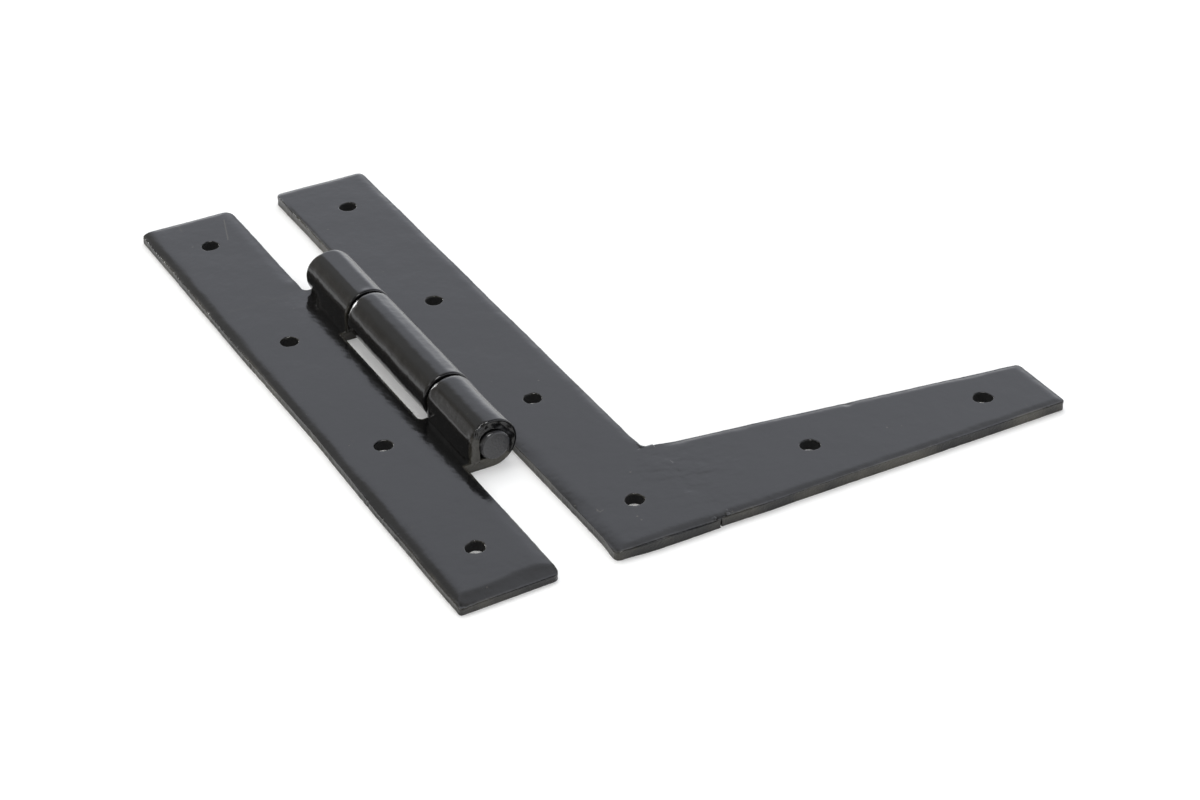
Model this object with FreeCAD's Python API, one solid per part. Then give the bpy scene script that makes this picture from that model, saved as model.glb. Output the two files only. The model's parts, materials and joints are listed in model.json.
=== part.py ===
import FreeCAD, Part
import math
import os

V = FreeCAD.Vector

# Frame: the origin is the middle of the h leaf's back face. X runs from the h leaf towards
# the barrel and the arm, Y runs up the leaves along the pin, Z comes out of the front.

# Flat bar that both leaves and the arm are cut from
BAR_THICKNESS = 2.8
CORNER_RADIUS = 1.5

# The h leaf: a plain strap with two lugs rolled into the outer knuckles
H_LENGTH = 178.0
H_WIDTH = 24.5

# The hl leaf: a strap with one lug rolled into the centre knuckle
HL_LENGTH = 180.2
HL_WIDTH = 24.9
HL_RISE = 0.9

# The arm: a tapered bar welded to the foot of the hl leaf, its lower edge in line with the foot
ARM_REACH = 95.3
ARM_ROOT_WIDTH = 32.1
ARM_TIP_WIDTH = 18.6

# The pin, tight enough in the outer knuckles to stay, free to turn in the centre one
PIN_DIAMETER = 6.9
PIN_CLEARANCE = 0.05
PIN_PROUD = 0.8
PIN_END_ROUND = 0.8

# The barrel, along Y: lower outer knuckle, centre knuckle, upper outer knuckle
LOWER_KNUCKLE_LENGTH = 21.9
CENTRE_KNUCKLE_LENGTH = 41.7
UPPER_KNUCKLE_LENGTH = 22.7
CENTRE_KNUCKLE_DROP = 0.7
KNUCKLE_SIDE_GAP = 0.3
SEAM_GAP = 0.1
KNUCKLE_RIM_ROUND = 0.5

# How far each strap's edge stands clear of the rolled knuckles
H_EDGE_CLEARANCE = 0.76
HL_EDGE_CLEARANCE = 0.12
SLOT_UNDERCUT = 0.85
SLOT_CORNER_RADIUS = 1.0
LUG_FILLET = 1.5

# Screw holes, placed from each strap's ends, with the sideways drift of holes marked by hand
HOLE_DIAMETER = 4.8
H_TOP_INSET = 14.6
H_TOP_SPACING = 51.4
H_BOTTOM_INSET = 16.8
H_BOTTOM_SPACING = 44.5
H_HOLE_DRIFT = (0.5, -0.7, -0.2, 0.2)
HL_TOP_INSET = 15.6
HL_TOP_SPACING = 52.6
HL_BOTTOM_INSET = 15.3
HL_BOTTOM_SPACING = 46.6
HL_HOLE_DRIFT = (1.2, -0.3, 0.2, 0.6)
ARM_ROOT_INSET = 33.4
ARM_TIP_INSET = 16.3
ARM_HOLE_RISE = (0.5, 0.3)

# Edges beaten down to a shallow bevel on the front face
SIDE_BEVEL_WIDTH = 2.2
SIDE_BEVEL_DROP = 0.5
FOOT_BEVEL_WIDTH = 3.6
FOOT_BEVEL_DROP = 0.8

# The weld between the hl leaf and the arm, dressed flush with the front face
GROOVE_HALF_WIDTH = 1.6
GROOVE_DEPTH = 2.0
WELD_STOP = 1.2
WELD_CORNER = 2.4
NOTCH_HALF_WIDTH = 0.3
NOTCH_DEPTH = 0.8

# Worked out from the sizes above
BORE_RADIUS = PIN_DIAMETER / 2 + PIN_CLEARANCE
KNUCKLE_RADIUS = BORE_RADIUS + BAR_THICKNESS
PIN_X = H_WIDTH / 2 + KNUCKLE_RADIUS + H_EDGE_CLEARANCE
PIN_Z = KNUCKLE_RADIUS

H_LEFT = -H_WIDTH / 2
H_RIGHT = H_WIDTH / 2
H_TOP = H_LENGTH / 2
H_FOOT = -H_LENGTH / 2
HL_LEFT = PIN_X + KNUCKLE_RADIUS + HL_EDGE_CLEARANCE
HL_RIGHT = HL_LEFT + HL_WIDTH
HL_TOP = HL_RISE + HL_LENGTH / 2
HL_FOOT = HL_RISE - HL_LENGTH / 2

CENTRE_TOP = CENTRE_KNUCKLE_LENGTH / 2 - CENTRE_KNUCKLE_DROP
CENTRE_FOOT = CENTRE_TOP - CENTRE_KNUCKLE_LENGTH
UPPER_FOOT = CENTRE_TOP + KNUCKLE_SIDE_GAP
UPPER_TOP = UPPER_FOOT + UPPER_KNUCKLE_LENGTH
LOWER_TOP = CENTRE_FOOT - KNUCKLE_SIDE_GAP
LOWER_FOOT = LOWER_TOP - LOWER_KNUCKLE_LENGTH

ARM_ROOT_TOP = HL_FOOT + ARM_ROOT_WIDTH
ARM_TIP_TOP = HL_FOOT + ARM_TIP_WIDTH
ARM_TIP = HL_RIGHT + ARM_REACH

# How far a cutting tool reaches past the metal it cuts
PAST = 1.0


def plate(points):
    """A flat piece of the bar with the outline given in X and Y, its back on Z = 0."""
    outline = [V(x, y, 0) for x, y in points]
    outline.append(outline[0])
    return Part.Face(Part.makePolygon(outline)).extrude(V(0, 0, BAR_THICKNESS))


def slab(left, foot, right, top):
    """A rectangular piece of the bar."""
    return plate([(left, foot), (right, foot), (right, top), (left, top)])


def round_corners(shape, radius, corners):
    """Round the upright edges that stand at the given X and Y places."""
    chosen = []
    for edge in shape.Edges:
        ends = [vertex.Point for vertex in edge.Vertexes]
        if len(ends) != 2 or abs(ends[0].z - ends[1].z) < BAR_THICKNESS / 2:
            continue
        for x, y in corners:
            if all(math.hypot(end.x - x, end.y - y) < 1e-4 for end in ends):
                chosen.append(edge)
    return shape.makeFillet(radius, chosen)


def bevel_tool(start, end, width, drop):
    """A wedge that bevels the front edge from start to end, with the metal on its left hand.

    The bevel starts the given width in from the edge and has fallen by drop at the edge.
    """
    along = V(end[0] - start[0], end[1] - start[1], 0)
    inward = V(-along.y, along.x, 0).normalize()
    slope = drop / width
    edge_z = BAR_THICKNESS - drop

    def point(distance, z):
        return V(start[0], start[1], z) + inward * distance

    outer = point(-PAST, edge_z - PAST * slope)
    inner = point(width + PAST, BAR_THICKNESS + PAST * slope)
    upper = point(-PAST, BAR_THICKNESS + PAST * slope)
    return Part.Face(Part.makePolygon([outer, inner, upper, outer])).extrude(along)


def bevel(shape, start, end, width=SIDE_BEVEL_WIDTH, drop=SIDE_BEVEL_DROP):
    """Beat down one straight front edge of a piece."""
    return shape.cut(bevel_tool(start, end, width, drop))


def screw_holes(places):
    """Drills for the screw holes at the given X and Y places."""
    height = BAR_THICKNESS + 2 * PAST
    return [Part.makeCylinder(HOLE_DIAMETER / 2, height, V(x, y, -PAST)) for x, y in places]


def strap_holes(centre, drift, top, foot, top_inset, top_spacing, bottom_inset, bottom_spacing):
    """Places of a strap's four holes: two set out from its top end and two from its foot."""
    heights = (
        top - top_inset,
        top - top_inset - top_spacing,
        foot + bottom_inset + bottom_spacing,
        foot + bottom_inset,
    )
    return [(centre + aside, height) for aside, height in zip(drift, heights)]


def rolled_knuckle(side, foot, top):
    """A lug's end rolled about the pin into an eye.

    The bar leaves the flat of the lug under the pin, turns three quarters of a circle and
    comes straight down on the lug's front face. side is +1 where the lug comes from the
    left of the pin and -1 where it comes from the right.
    """
    def at(x, z):
        return V(PIN_X + side * x, foot, z)

    outer = KNUCKLE_RADIUS
    inner = BORE_RADIUS
    end_z = BAR_THICKNESS + SEAM_GAP
    diagonal = math.sqrt(0.5)
    outline = [
        Part.Arc(at(0, 0), at(outer * diagonal, PIN_Z - outer * diagonal), at(outer, PIN_Z)),
        Part.Arc(at(outer, PIN_Z), at(0, PIN_Z + outer), at(-outer, PIN_Z)),
        Part.LineSegment(at(-outer, PIN_Z), at(-outer, end_z)),
        Part.LineSegment(at(-outer, end_z), at(-inner, end_z)),
        Part.LineSegment(at(-inner, end_z), at(-inner, PIN_Z)),
        Part.Arc(at(-inner, PIN_Z), at(0, PIN_Z + inner), at(inner, PIN_Z)),
        Part.Arc(at(inner, PIN_Z), at(inner * diagonal, PIN_Z - inner * diagonal), at(0, BAR_THICKNESS)),
        Part.LineSegment(at(0, BAR_THICKNESS), at(0, 0)),
    ]
    wire = Part.Wire([curve.toShape() for curve in outline])
    eye = Part.Face(wire).extrude(V(0, top - foot, 0))
    rims = []
    for edge in eye.Edges:
        level = {round(vertex.Point.y, 4) for vertex in edge.Vertexes}
        middle = edge.valueAt((edge.FirstParameter + edge.LastParameter) / 2)
        off_axis = math.hypot(middle.x - PIN_X, middle.z - PIN_Z)
        if len(level) == 1 and off_axis > outer - 1e-3 and middle.z > end_z + 1e-3:
            rims.append(edge)
    return eye.makeFillet(KNUCKLE_RIM_ROUND, rims)


def h_leaf():
    """The strap on the left: two lugs, rolled up and over to the right, with a slot between."""
    strap = slab(H_LEFT, H_FOOT, H_RIGHT, H_TOP)
    for foot, top in ((LOWER_FOOT, LOWER_TOP), (UPPER_FOOT, UPPER_TOP)):
        strap = strap.fuse(slab(H_RIGHT - PAST, foot, PIN_X, top))
    strap = strap.removeSplitter()
    ends = [(H_LEFT, H_FOOT), (H_RIGHT, H_FOOT), (H_RIGHT, H_TOP), (H_LEFT, H_TOP)]
    strap = round_corners(strap, CORNER_RADIUS, ends)
    strap = round_corners(strap, LUG_FILLET, [(H_RIGHT, UPPER_TOP)])

    strap = bevel(strap, (H_LEFT, H_TOP), (H_LEFT, H_FOOT))
    strap = bevel(strap, (H_LEFT, H_FOOT), (H_RIGHT, H_FOOT), FOOT_BEVEL_WIDTH, FOOT_BEVEL_DROP)
    strap = bevel(strap, (H_RIGHT, H_TOP), (H_LEFT, H_TOP))
    strap = bevel(strap, (H_RIGHT, H_FOOT), (H_RIGHT, LOWER_FOOT))
    strap = bevel(strap, (H_RIGHT, UPPER_TOP + LUG_FILLET), (H_RIGHT, H_TOP))

    slot_left = H_RIGHT - SLOT_UNDERCUT
    slot = slab(slot_left, LOWER_TOP, PIN_X, UPPER_FOOT)
    slot = round_corners(slot, SLOT_CORNER_RADIUS, [(slot_left, LOWER_TOP), (slot_left, UPPER_FOOT)])
    strap = strap.cut(slot)
    places = strap_holes((H_LEFT + H_RIGHT) / 2, H_HOLE_DRIFT, H_TOP, H_FOOT,
                         H_TOP_INSET, H_TOP_SPACING, H_BOTTOM_INSET, H_BOTTOM_SPACING)
    strap = strap.cut(screw_holes(places))
    lower = rolled_knuckle(1, LOWER_FOOT, LOWER_TOP)
    upper = rolled_knuckle(1, UPPER_FOOT, UPPER_TOP)
    return strap.fuse([lower, upper]).removeSplitter()


def seam_groove():
    """The V ground into both bars along their joint, short of the lower edge."""
    slope = GROOVE_HALF_WIDTH / GROOVE_DEPTH
    reach = GROOVE_HALF_WIDTH + PAST * slope
    start = HL_FOOT + WELD_STOP
    bottom = V(HL_RIGHT, start, BAR_THICKNESS - GROOVE_DEPTH)
    left = V(HL_RIGHT - reach, start, BAR_THICKNESS + PAST)
    right = V(HL_RIGHT + reach, start, BAR_THICKNESS + PAST)
    return Part.Face(Part.makePolygon([bottom, right, left, bottom])).extrude(V(0, ARM_ROOT_TOP - start, 0))


def seam_notch():
    """The small open end of the joint that the weld doesn't reach, at the lower edge."""
    tip = V(HL_RIGHT, HL_FOOT + NOTCH_DEPTH, -PAST)
    spread = NOTCH_HALF_WIDTH * (NOTCH_DEPTH + PAST) / NOTCH_DEPTH
    left = V(HL_RIGHT - spread, HL_FOOT - PAST, -PAST)
    right = V(HL_RIGHT + spread, HL_FOOT - PAST, -PAST)
    return Part.Face(Part.makePolygon([tip, left, right, tip])).extrude(V(0, 0, BAR_THICKNESS + 2 * PAST))


def arm_top_at(x):
    """Height of the arm's upper edge at a place along it."""
    share = (x - HL_RIGHT) / ARM_REACH
    return ARM_ROOT_TOP + share * (ARM_TIP_TOP - ARM_ROOT_TOP)


def hl_leaf():
    """The strap on the right: one lug, rolled up and over to the left."""
    strap = slab(HL_LEFT, HL_FOOT, HL_RIGHT, HL_TOP)
    strap = strap.fuse(slab(PIN_X, CENTRE_FOOT, HL_LEFT + PAST, CENTRE_TOP)).removeSplitter()
    ends = [(HL_LEFT, HL_FOOT), (HL_RIGHT, HL_TOP), (HL_LEFT, HL_TOP)]
    strap = round_corners(strap, CORNER_RADIUS, ends)

    strap = bevel(strap, (HL_LEFT, HL_TOP), (HL_LEFT, CENTRE_TOP))
    strap = bevel(strap, (HL_LEFT, CENTRE_FOOT), (HL_LEFT, HL_FOOT))
    strap = bevel(strap, (HL_LEFT, HL_FOOT), (HL_RIGHT, HL_FOOT))
    strap = bevel(strap, (HL_RIGHT, ARM_ROOT_TOP + WELD_CORNER), (HL_RIGHT, HL_TOP))
    strap = bevel(strap, (HL_RIGHT, HL_TOP), (HL_LEFT, HL_TOP))

    places = strap_holes((HL_LEFT + HL_RIGHT) / 2, HL_HOLE_DRIFT, HL_TOP, HL_FOOT,
                         HL_TOP_INSET, HL_TOP_SPACING, HL_BOTTOM_INSET, HL_BOTTOM_SPACING)
    strap = strap.cut(screw_holes(places) + [seam_groove(), seam_notch()])
    return strap.fuse(rolled_knuckle(-1, CENTRE_FOOT, CENTRE_TOP)).removeSplitter()


def arm():
    """The tapered bar, its root butted against the foot of the hl leaf."""
    outline = [(HL_RIGHT, HL_FOOT), (ARM_TIP, HL_FOOT), (ARM_TIP, ARM_TIP_TOP), (HL_RIGHT, ARM_ROOT_TOP)]
    bar = round_corners(plate(outline), CORNER_RADIUS, outline[1:3])
    weld_end = HL_RIGHT + WELD_CORNER
    bar = bevel(bar, outline[0], outline[1])
    bar = bevel(bar, outline[1], outline[2])
    bar = bevel(bar, outline[2], (weld_end, arm_top_at(weld_end)))

    places = []
    for x, rise in zip((HL_RIGHT + ARM_ROOT_INSET, ARM_TIP - ARM_TIP_INSET), ARM_HOLE_RISE):
        places.append((x, (HL_FOOT + arm_top_at(x)) / 2 + rise))
    return bar.cut(screw_holes(places) + [seam_groove(), seam_notch()])


def arm_weld():
    """The weld metal: the filled groove and the fillet in the inner corner, as one bead."""
    flush = slab(HL_RIGHT - GROOVE_HALF_WIDTH - PAST, HL_FOOT,
                 HL_RIGHT + GROOVE_HALF_WIDTH + PAST, ARM_ROOT_TOP)
    fill = seam_groove().common(flush)
    foot_x = HL_RIGHT + WELD_CORNER
    corner = V(HL_RIGHT, ARM_ROOT_TOP, 0)
    on_leaf = V(HL_RIGHT, ARM_ROOT_TOP + WELD_CORNER, 0)
    on_arm = V(foot_x, arm_top_at(foot_x), 0)
    sag = WELD_CORNER * (1 - math.sqrt(0.5))
    middle = V(HL_RIGHT + sag, ARM_ROOT_TOP + sag, 0)
    curve = Part.Arc(on_arm, middle, on_leaf).toShape()
    sides = [Part.makeLine(on_leaf, corner), Part.makeLine(corner, on_arm)]
    fillet = Part.Face(Part.Wire(sides + [curve])).extrude(V(0, 0, BAR_THICKNESS))
    return fill.fuse(fillet).removeSplitter()


def pin():
    """The pin, a plain rod with rounded ends just proud of the barrel."""
    foot = LOWER_FOOT - PIN_PROUD
    length = UPPER_TOP + PIN_PROUD - foot
    rod = Part.makeCylinder(PIN_DIAMETER / 2, length, V(PIN_X, foot, PIN_Z), V(0, 1, 0))
    rims = [edge for edge in rod.Edges if isinstance(edge.Curve, Part.Circle)]
    return rod.makeFillet(PIN_END_ROUND, rims)


PIECES = {
    "h_leaf": h_leaf,
    "hl_leaf": hl_leaf,
    "arm": arm,
    "arm_weld": arm_weld,
    "pin": pin,
}

os.makedirs("parts", exist_ok=True)
for name, make in PIECES.items():
    solids = make().Solids
    piece = solids[0] if len(solids) == 1 else Part.makeCompound(solids)
    piece.exportStep(f"parts/{name}.step")
    box = piece.BoundBox
    print(f"{name}: {len(solids)} solid, valid {piece.isValid()}, volume {piece.Volume:.1f} mm3, "
          f"box {box.XMin:.2f} {box.YMin:.2f} {box.ZMin:.2f} to {box.XMax:.2f} {box.YMax:.2f} {box.ZMax:.2f}")
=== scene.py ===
import json
import logging
import math
from dataclasses import dataclass
from enum import Enum
from typing import Callable, Optional, Sequence

import bpy
import numpy as np
from bpy.types import ID, Material, Node, NodeSocket, NodeTree, Object, World
from mathutils import Matrix, Vector

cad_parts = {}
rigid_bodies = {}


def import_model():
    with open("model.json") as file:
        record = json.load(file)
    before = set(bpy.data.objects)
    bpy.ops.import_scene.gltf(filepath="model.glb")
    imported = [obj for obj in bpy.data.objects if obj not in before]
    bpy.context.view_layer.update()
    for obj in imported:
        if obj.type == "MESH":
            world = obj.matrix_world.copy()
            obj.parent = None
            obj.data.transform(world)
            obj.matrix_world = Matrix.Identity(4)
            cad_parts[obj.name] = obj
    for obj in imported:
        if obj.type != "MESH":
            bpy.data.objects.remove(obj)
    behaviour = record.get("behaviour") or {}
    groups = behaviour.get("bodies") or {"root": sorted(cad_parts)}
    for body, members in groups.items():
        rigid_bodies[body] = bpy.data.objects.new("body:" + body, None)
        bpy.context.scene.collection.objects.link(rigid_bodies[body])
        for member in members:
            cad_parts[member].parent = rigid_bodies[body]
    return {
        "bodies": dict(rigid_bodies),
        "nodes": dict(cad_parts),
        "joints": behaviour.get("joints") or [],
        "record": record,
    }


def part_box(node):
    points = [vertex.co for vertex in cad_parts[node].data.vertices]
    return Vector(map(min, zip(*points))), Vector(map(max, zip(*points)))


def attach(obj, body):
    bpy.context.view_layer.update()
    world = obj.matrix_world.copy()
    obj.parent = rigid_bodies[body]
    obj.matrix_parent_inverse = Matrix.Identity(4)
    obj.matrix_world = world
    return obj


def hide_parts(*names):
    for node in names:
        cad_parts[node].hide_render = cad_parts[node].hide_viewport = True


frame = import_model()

# The painted looks of an HL hinge: two leaves and an arm of hand-dressed flat bar, rolled into
# a barrel about a plain pin. X runs from the h leaf towards the arm, Y up the leaves along the
# pin, Z out of the front. Sizes are millimetres until a mesh is made, which is in metres.
# Arrays of places have one row for each point.

LOG = logging.getLogger("hl_hinge")
MM = 0.001
QUARTER_TURN = math.pi / 2.0
THREE_QUARTERS = 3.0 * QUARTER_TURN
Array = np.ndarray
Place = tuple[float, float]
Triple = tuple[float, float, float]
Four = tuple[float, float, float, float]
Waves = tuple[tuple[float, float, int], ...]

# How many sine waves make up a ripple, and their shortest and longest as shares of its length
RIPPLE_COUNT = 16
RIPPLE_SPREAD = (0.7, 1.6)

# Spacing of grid lines on the flats and round the barrel, their distances from an edge, and the
# share of a gap that the lines crowding to one of its edges may take up
FLAT_STEP = 0.62
BARREL_STEP = 0.36
EDGE_LADDER = np.array([0.05, 0.12, 0.21, 0.32, 0.46, 0.65, 0.9, 1.25, 1.7, 2.3])
LADDER_SHARE = 0.45

# Half the square of grid taken out round a hole, and how far its rings stand from the rim
HOLE_BLOCK = 5.5
RIM_LADDER = np.array([2.4, 1.8, 1.35, 1.0, 0.74, 0.55, 0.42, 0.32, 0.23, 0.15, 0.08, 0.03])
RIM_REACH = 3.1

# Share of the bar's thickness at each row of a cut wall
WALL_ROWS = np.array([0.0, 0.08, 0.2, 0.35, 0.5, 0.65, 0.8, 0.92, 1.0])

# Usual rounding of the bar's cut edges, at its front, its back and the back of a hole
FRONT_ROUND = 0.24
BACK_ROUND = 0.3
HOLE_BACK_ROUND = 0.08

# Each row of a table of waves is a height, a distance from crest to crest, and a draw. These
# are for the bar's front, which is the same across every joint, for the rounding of its holes,
# for the weld's dressed cap and for the outside of a barrel.
FRONT_WAVES = ((0.018, 26.0, 90), (0.009, 10.0, 91))
RIM_WAVES = ((0.3, 2.2, 92),)
CAP_WAVES = ((0.006, 5.0, 81),)
BARREL_WAVES = ((0.4, 15.0, 0), (0.08, 5.0, 1))

# Waves of a cut wall's roughness and lumps, and how much closer their crests lie up the wall
ROUGH_WAVES = ((0.8, 6.0, 40),)
LUMP_WAVES = ((0.7, 1.7, 41),)
WALL_CLOSENESS = 1.5

# Waves of a dressed edge's width, drop, dents and line
WIDTH_WAVES = ((1.0, 17.0, 1),)
DROP_WAVES = ((1.0, 19.0, 2),)
DENT_WAVES = ((0.1, 5.5, 3),)
LINE_WAVES = ((0.7, 30.0, 4), (0.4, 6.0, 5), (0.35, 2.6, 6))
DRAWS_PER_EDGE = 7

# How far in from an edge the front's waves are full and the edge's own wander ends, and how far
# from the edge's ends that wander is full
WAVES_INSET = 2.0
WANDER_DEPTH = 6.0
WANDER_END = 3.0

# Reach of the ground patch round the seam, how far past its ends a knuckle still counts, and how
# near a grid line is the one asked for
DRESSED_REACH = 14.0
KNUCKLE_SLACK = 0.01
LINE_SLACK = 1e-4

# How much further from an edge a hole's rim counts for the paint, and how near it is the bore
HOLE_SPARED = 0.4
BORE_REACH = 0.02


class Slot(Enum):
    """The record's material slots."""

    BAR = "painted_bar"
    WELD = "painted_weld"
    PIN = "painted_pin"


class Body(Enum):
    """The two bodies that the hinge turns between."""

    FIXED = "fixed_leaf"
    SWINGING = "swinging_leaf"


def ease(value: Array, start: float, reach: float) -> Array:
    """Ease from 0 to 1: 3 v squared less 2 v cubed of the way v, held flat outside.

    Args:
        value: what the step follows.
        start: the value at which it leaves 0.
        reach: how much further it is 1. A negative reach makes it fall as the value grows.

    Returns:
        The step at each value.
    """
    way = np.clip((value - start) / reach, 0.0, 1.0)
    return way * way * (3.0 - 2.0 * way)


def ripples(places: Array, wavelength: float, seed: int) -> Array:
    """Smooth unevenness: sine waves that run in all directions, added up.

    Each wave is the sine of its direction times the place plus a phase. Directions, phases and
    lengths near the one asked for come from a seeded draw.

    Args:
        places: points, with one column for each dimension.
        wavelength: typical distance from crest to crest.
        seed: picks the draw.

    Returns:
        One value for each point, around zero, of about unit size.
    """
    draw = np.random.default_rng(seed)
    directions = draw.normal(size=(RIPPLE_COUNT, places.shape[1]))
    directions /= np.linalg.norm(directions, axis=1, keepdims=True)
    lengths = wavelength * draw.uniform(*RIPPLE_SPREAD, size=RIPPLE_COUNT)
    phases = draw.uniform(0.0, 2.0 * math.pi, size=RIPPLE_COUNT)
    turns = places @ (directions * (2.0 * math.pi / lengths)[:, None]).T
    return np.sin(turns + phases).sum(axis=1) * math.sqrt(2.0 / RIPPLE_COUNT)


def waves(places: Array, table: Waves, seed: int = 0) -> Array:
    """Add up a table's waves: each row's ripples times its height."""
    return sum(height * ripples(places, length, seed + draw) for height, length, draw in table)


def quarter_round(distance: Array, radius: Array | float) -> Array:
    """Fall of a rounded edge: radius less the height of a circle, at a distance from the edge."""
    inset = radius - np.minimum(distance, radius)
    return radius - np.sqrt(np.maximum(radius * radius - inset * inset, 0.0))


def show(name: str, data: ID) -> Object:
    """Put a new object into the scene that shows a mesh, a lamp's light or a camera."""
    thing = bpy.data.objects.new(name, data)
    bpy.context.scene.collection.objects.link(thing)
    return thing


def make_piece(name: str, vertices: Array, faces: Sequence[Array], marks: dict[str, Array]) -> Object:
    """Put worked-out vertices and faces into a new object that sits at the origin.

    Args:
        name: the piece's name.
        vertices: places in millimetres.
        faces: arrays of vertex numbers, each with faces of one size.
        marks: values kept on the vertices for the paint, by name.

    Returns:
        The new object, smooth shaded.
    """
    mesh = bpy.data.meshes.new(name)
    corners = np.concatenate([group.ravel() for group in faces]).astype(np.int32)
    sizes = np.concatenate([np.full(len(group), group.shape[1]) for group in faces])
    starts = np.concatenate([[0], np.cumsum(sizes)[:-1]]).astype(np.int32)
    mesh.vertices.add(len(vertices))
    mesh.vertices.foreach_set("co", (vertices * MM).astype(np.float32).ravel())
    mesh.loops.add(len(corners))
    mesh.loops.foreach_set("vertex_index", corners)
    mesh.polygons.add(len(sizes))
    mesh.polygons.foreach_set("loop_start", starts)
    mesh.polygons.foreach_set("use_smooth", np.ones(len(sizes), dtype=bool))
    for mark, values in marks.items():
        layer = mesh.attributes.new(mark, "FLOAT", "POINT")
        layer.data.foreach_set("value", values.astype(np.float32))
    mesh.update(calc_edges=True)
    mesh.validate()
    return show(name, mesh)


@dataclass(frozen=True)
class Outline:
    """A flat pattern's outline: straight edges through its points, the metal on their left."""

    points: Array

    def runs(self) -> Array:
        """The edges as vectors, each from its point to the next."""
        return np.roll(self.points, -1, axis=0) - self.points

    def holds(self, places: Array) -> Array:
        """Tell which places lie inside: those with an odd number of edges to their right."""
        inside = np.zeros(len(places), bool)
        for (x, y), (dx, dy) in zip(self.points, self.runs()):
            if dy == 0.0:
                continue
            share = (places[:, 1] - y) / dy
            inside ^= (share >= 0.0) & (share < 1.0) & (places[:, 0] < x + share * dx)
        return inside

    def distance(self, places: Array) -> Array:
        """Distance of each place from the nearest edge."""
        nearest = np.full(len(places), np.inf)
        for start, run in zip(self.points, self.runs()):
            share = np.clip((places - start) @ run / (run @ run), 0.0, 1.0)
            gap = np.linalg.norm(places - start - share[:, None] * run, axis=1)
            nearest = np.minimum(nearest, gap)
        return nearest

    def round_corner(self, places: Array, corner: int, radius: float) -> Array:
        """Move places near one corner so that the outline turns it on a curve.

        Distances along the two edges are measured in the corner's own skew axes. At an outer
        corner the square of that size becomes a quarter disc: u times the root of 1 less half
        of v squared, and the same the other way round. At an inner corner the metal is drawn
        out onto an arc that touches both edges, less and less further in.

        Args:
            places: the points.
            corner: number of the corner.
            radius: size of the curve.

        Returns:
            The moved points.
        """
        here = self.points[corner]
        before, ahead = self.runs()[corner - 1], self.runs()[corner]
        axes = np.column_stack([-before / np.linalg.norm(before), ahead / np.linalg.norm(ahead)])
        local = np.linalg.solve(axes, (places - here).T).T / radius
        if before[0] * ahead[1] > before[1] * ahead[0]:
            near = (local > -1e-6).all(axis=1) & (local < 1.0).all(axis=1)
            u, v = (1.0 - np.clip(local, 0.0, 1.0)).T
            disc = np.column_stack([u * np.sqrt(1.0 - v * v / 2.0), v * np.sqrt(1.0 - u * u / 2.0)])
            moved = np.where(near[:, None], 1.0 - disc, local)
        else:
            along = np.clip(local.max(axis=1), 0.0, 1.0)
            angle = (1.0 - along) * math.pi / 4.0
            pull = np.column_stack([1.0 - np.sin(angle) - along, 1.0 - np.cos(angle)])
            first = (local[:, 0] >= local[:, 1])[:, None]
            pull = np.where(first, pull, pull[:, ::-1])
            moved = local + pull * ease(local.min(axis=1), -3.0, 3.0)[:, None]
        return here + (moved * radius) @ axes.T


@dataclass(frozen=True)
class Hole:
    """A screw hole, with the lumps that the paint left round its rim.

    Each lobe is (count, size, turn): the rim's radius swings by size, count times a turn.
    """

    x: float
    y: float
    radius: float
    lobes: tuple[Triple, ...]

    def rim(self, angle: Array) -> Array:
        """Radius of the rim in each direction: the drill's plus a cosine for each lobe."""
        lumps = (size * np.cos(count * (angle - math.radians(turn))) for count, size, turn in self.lobes)
        return self.radius + sum(lumps)

    def distance(self, places: Array) -> Array:
        """Distance of each place from the rim."""
        apart = places - (self.x, self.y)
        return np.linalg.norm(apart, axis=1) - self.rim(np.arctan2(apart[:, 1], apart[:, 0]))


@dataclass(frozen=True)
class Dent:
    """A small hollow struck into the front: a bell curve of its depth over its radius."""

    x: float
    y: float
    radius: float
    depth: float

    def fall(self, places: Array) -> Array:
        """How far the front is struck down at each place."""
        apart = np.linalg.norm(places - (self.x, self.y), axis=1) / self.radius
        return self.depth * np.exp(-apart * apart)


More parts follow.
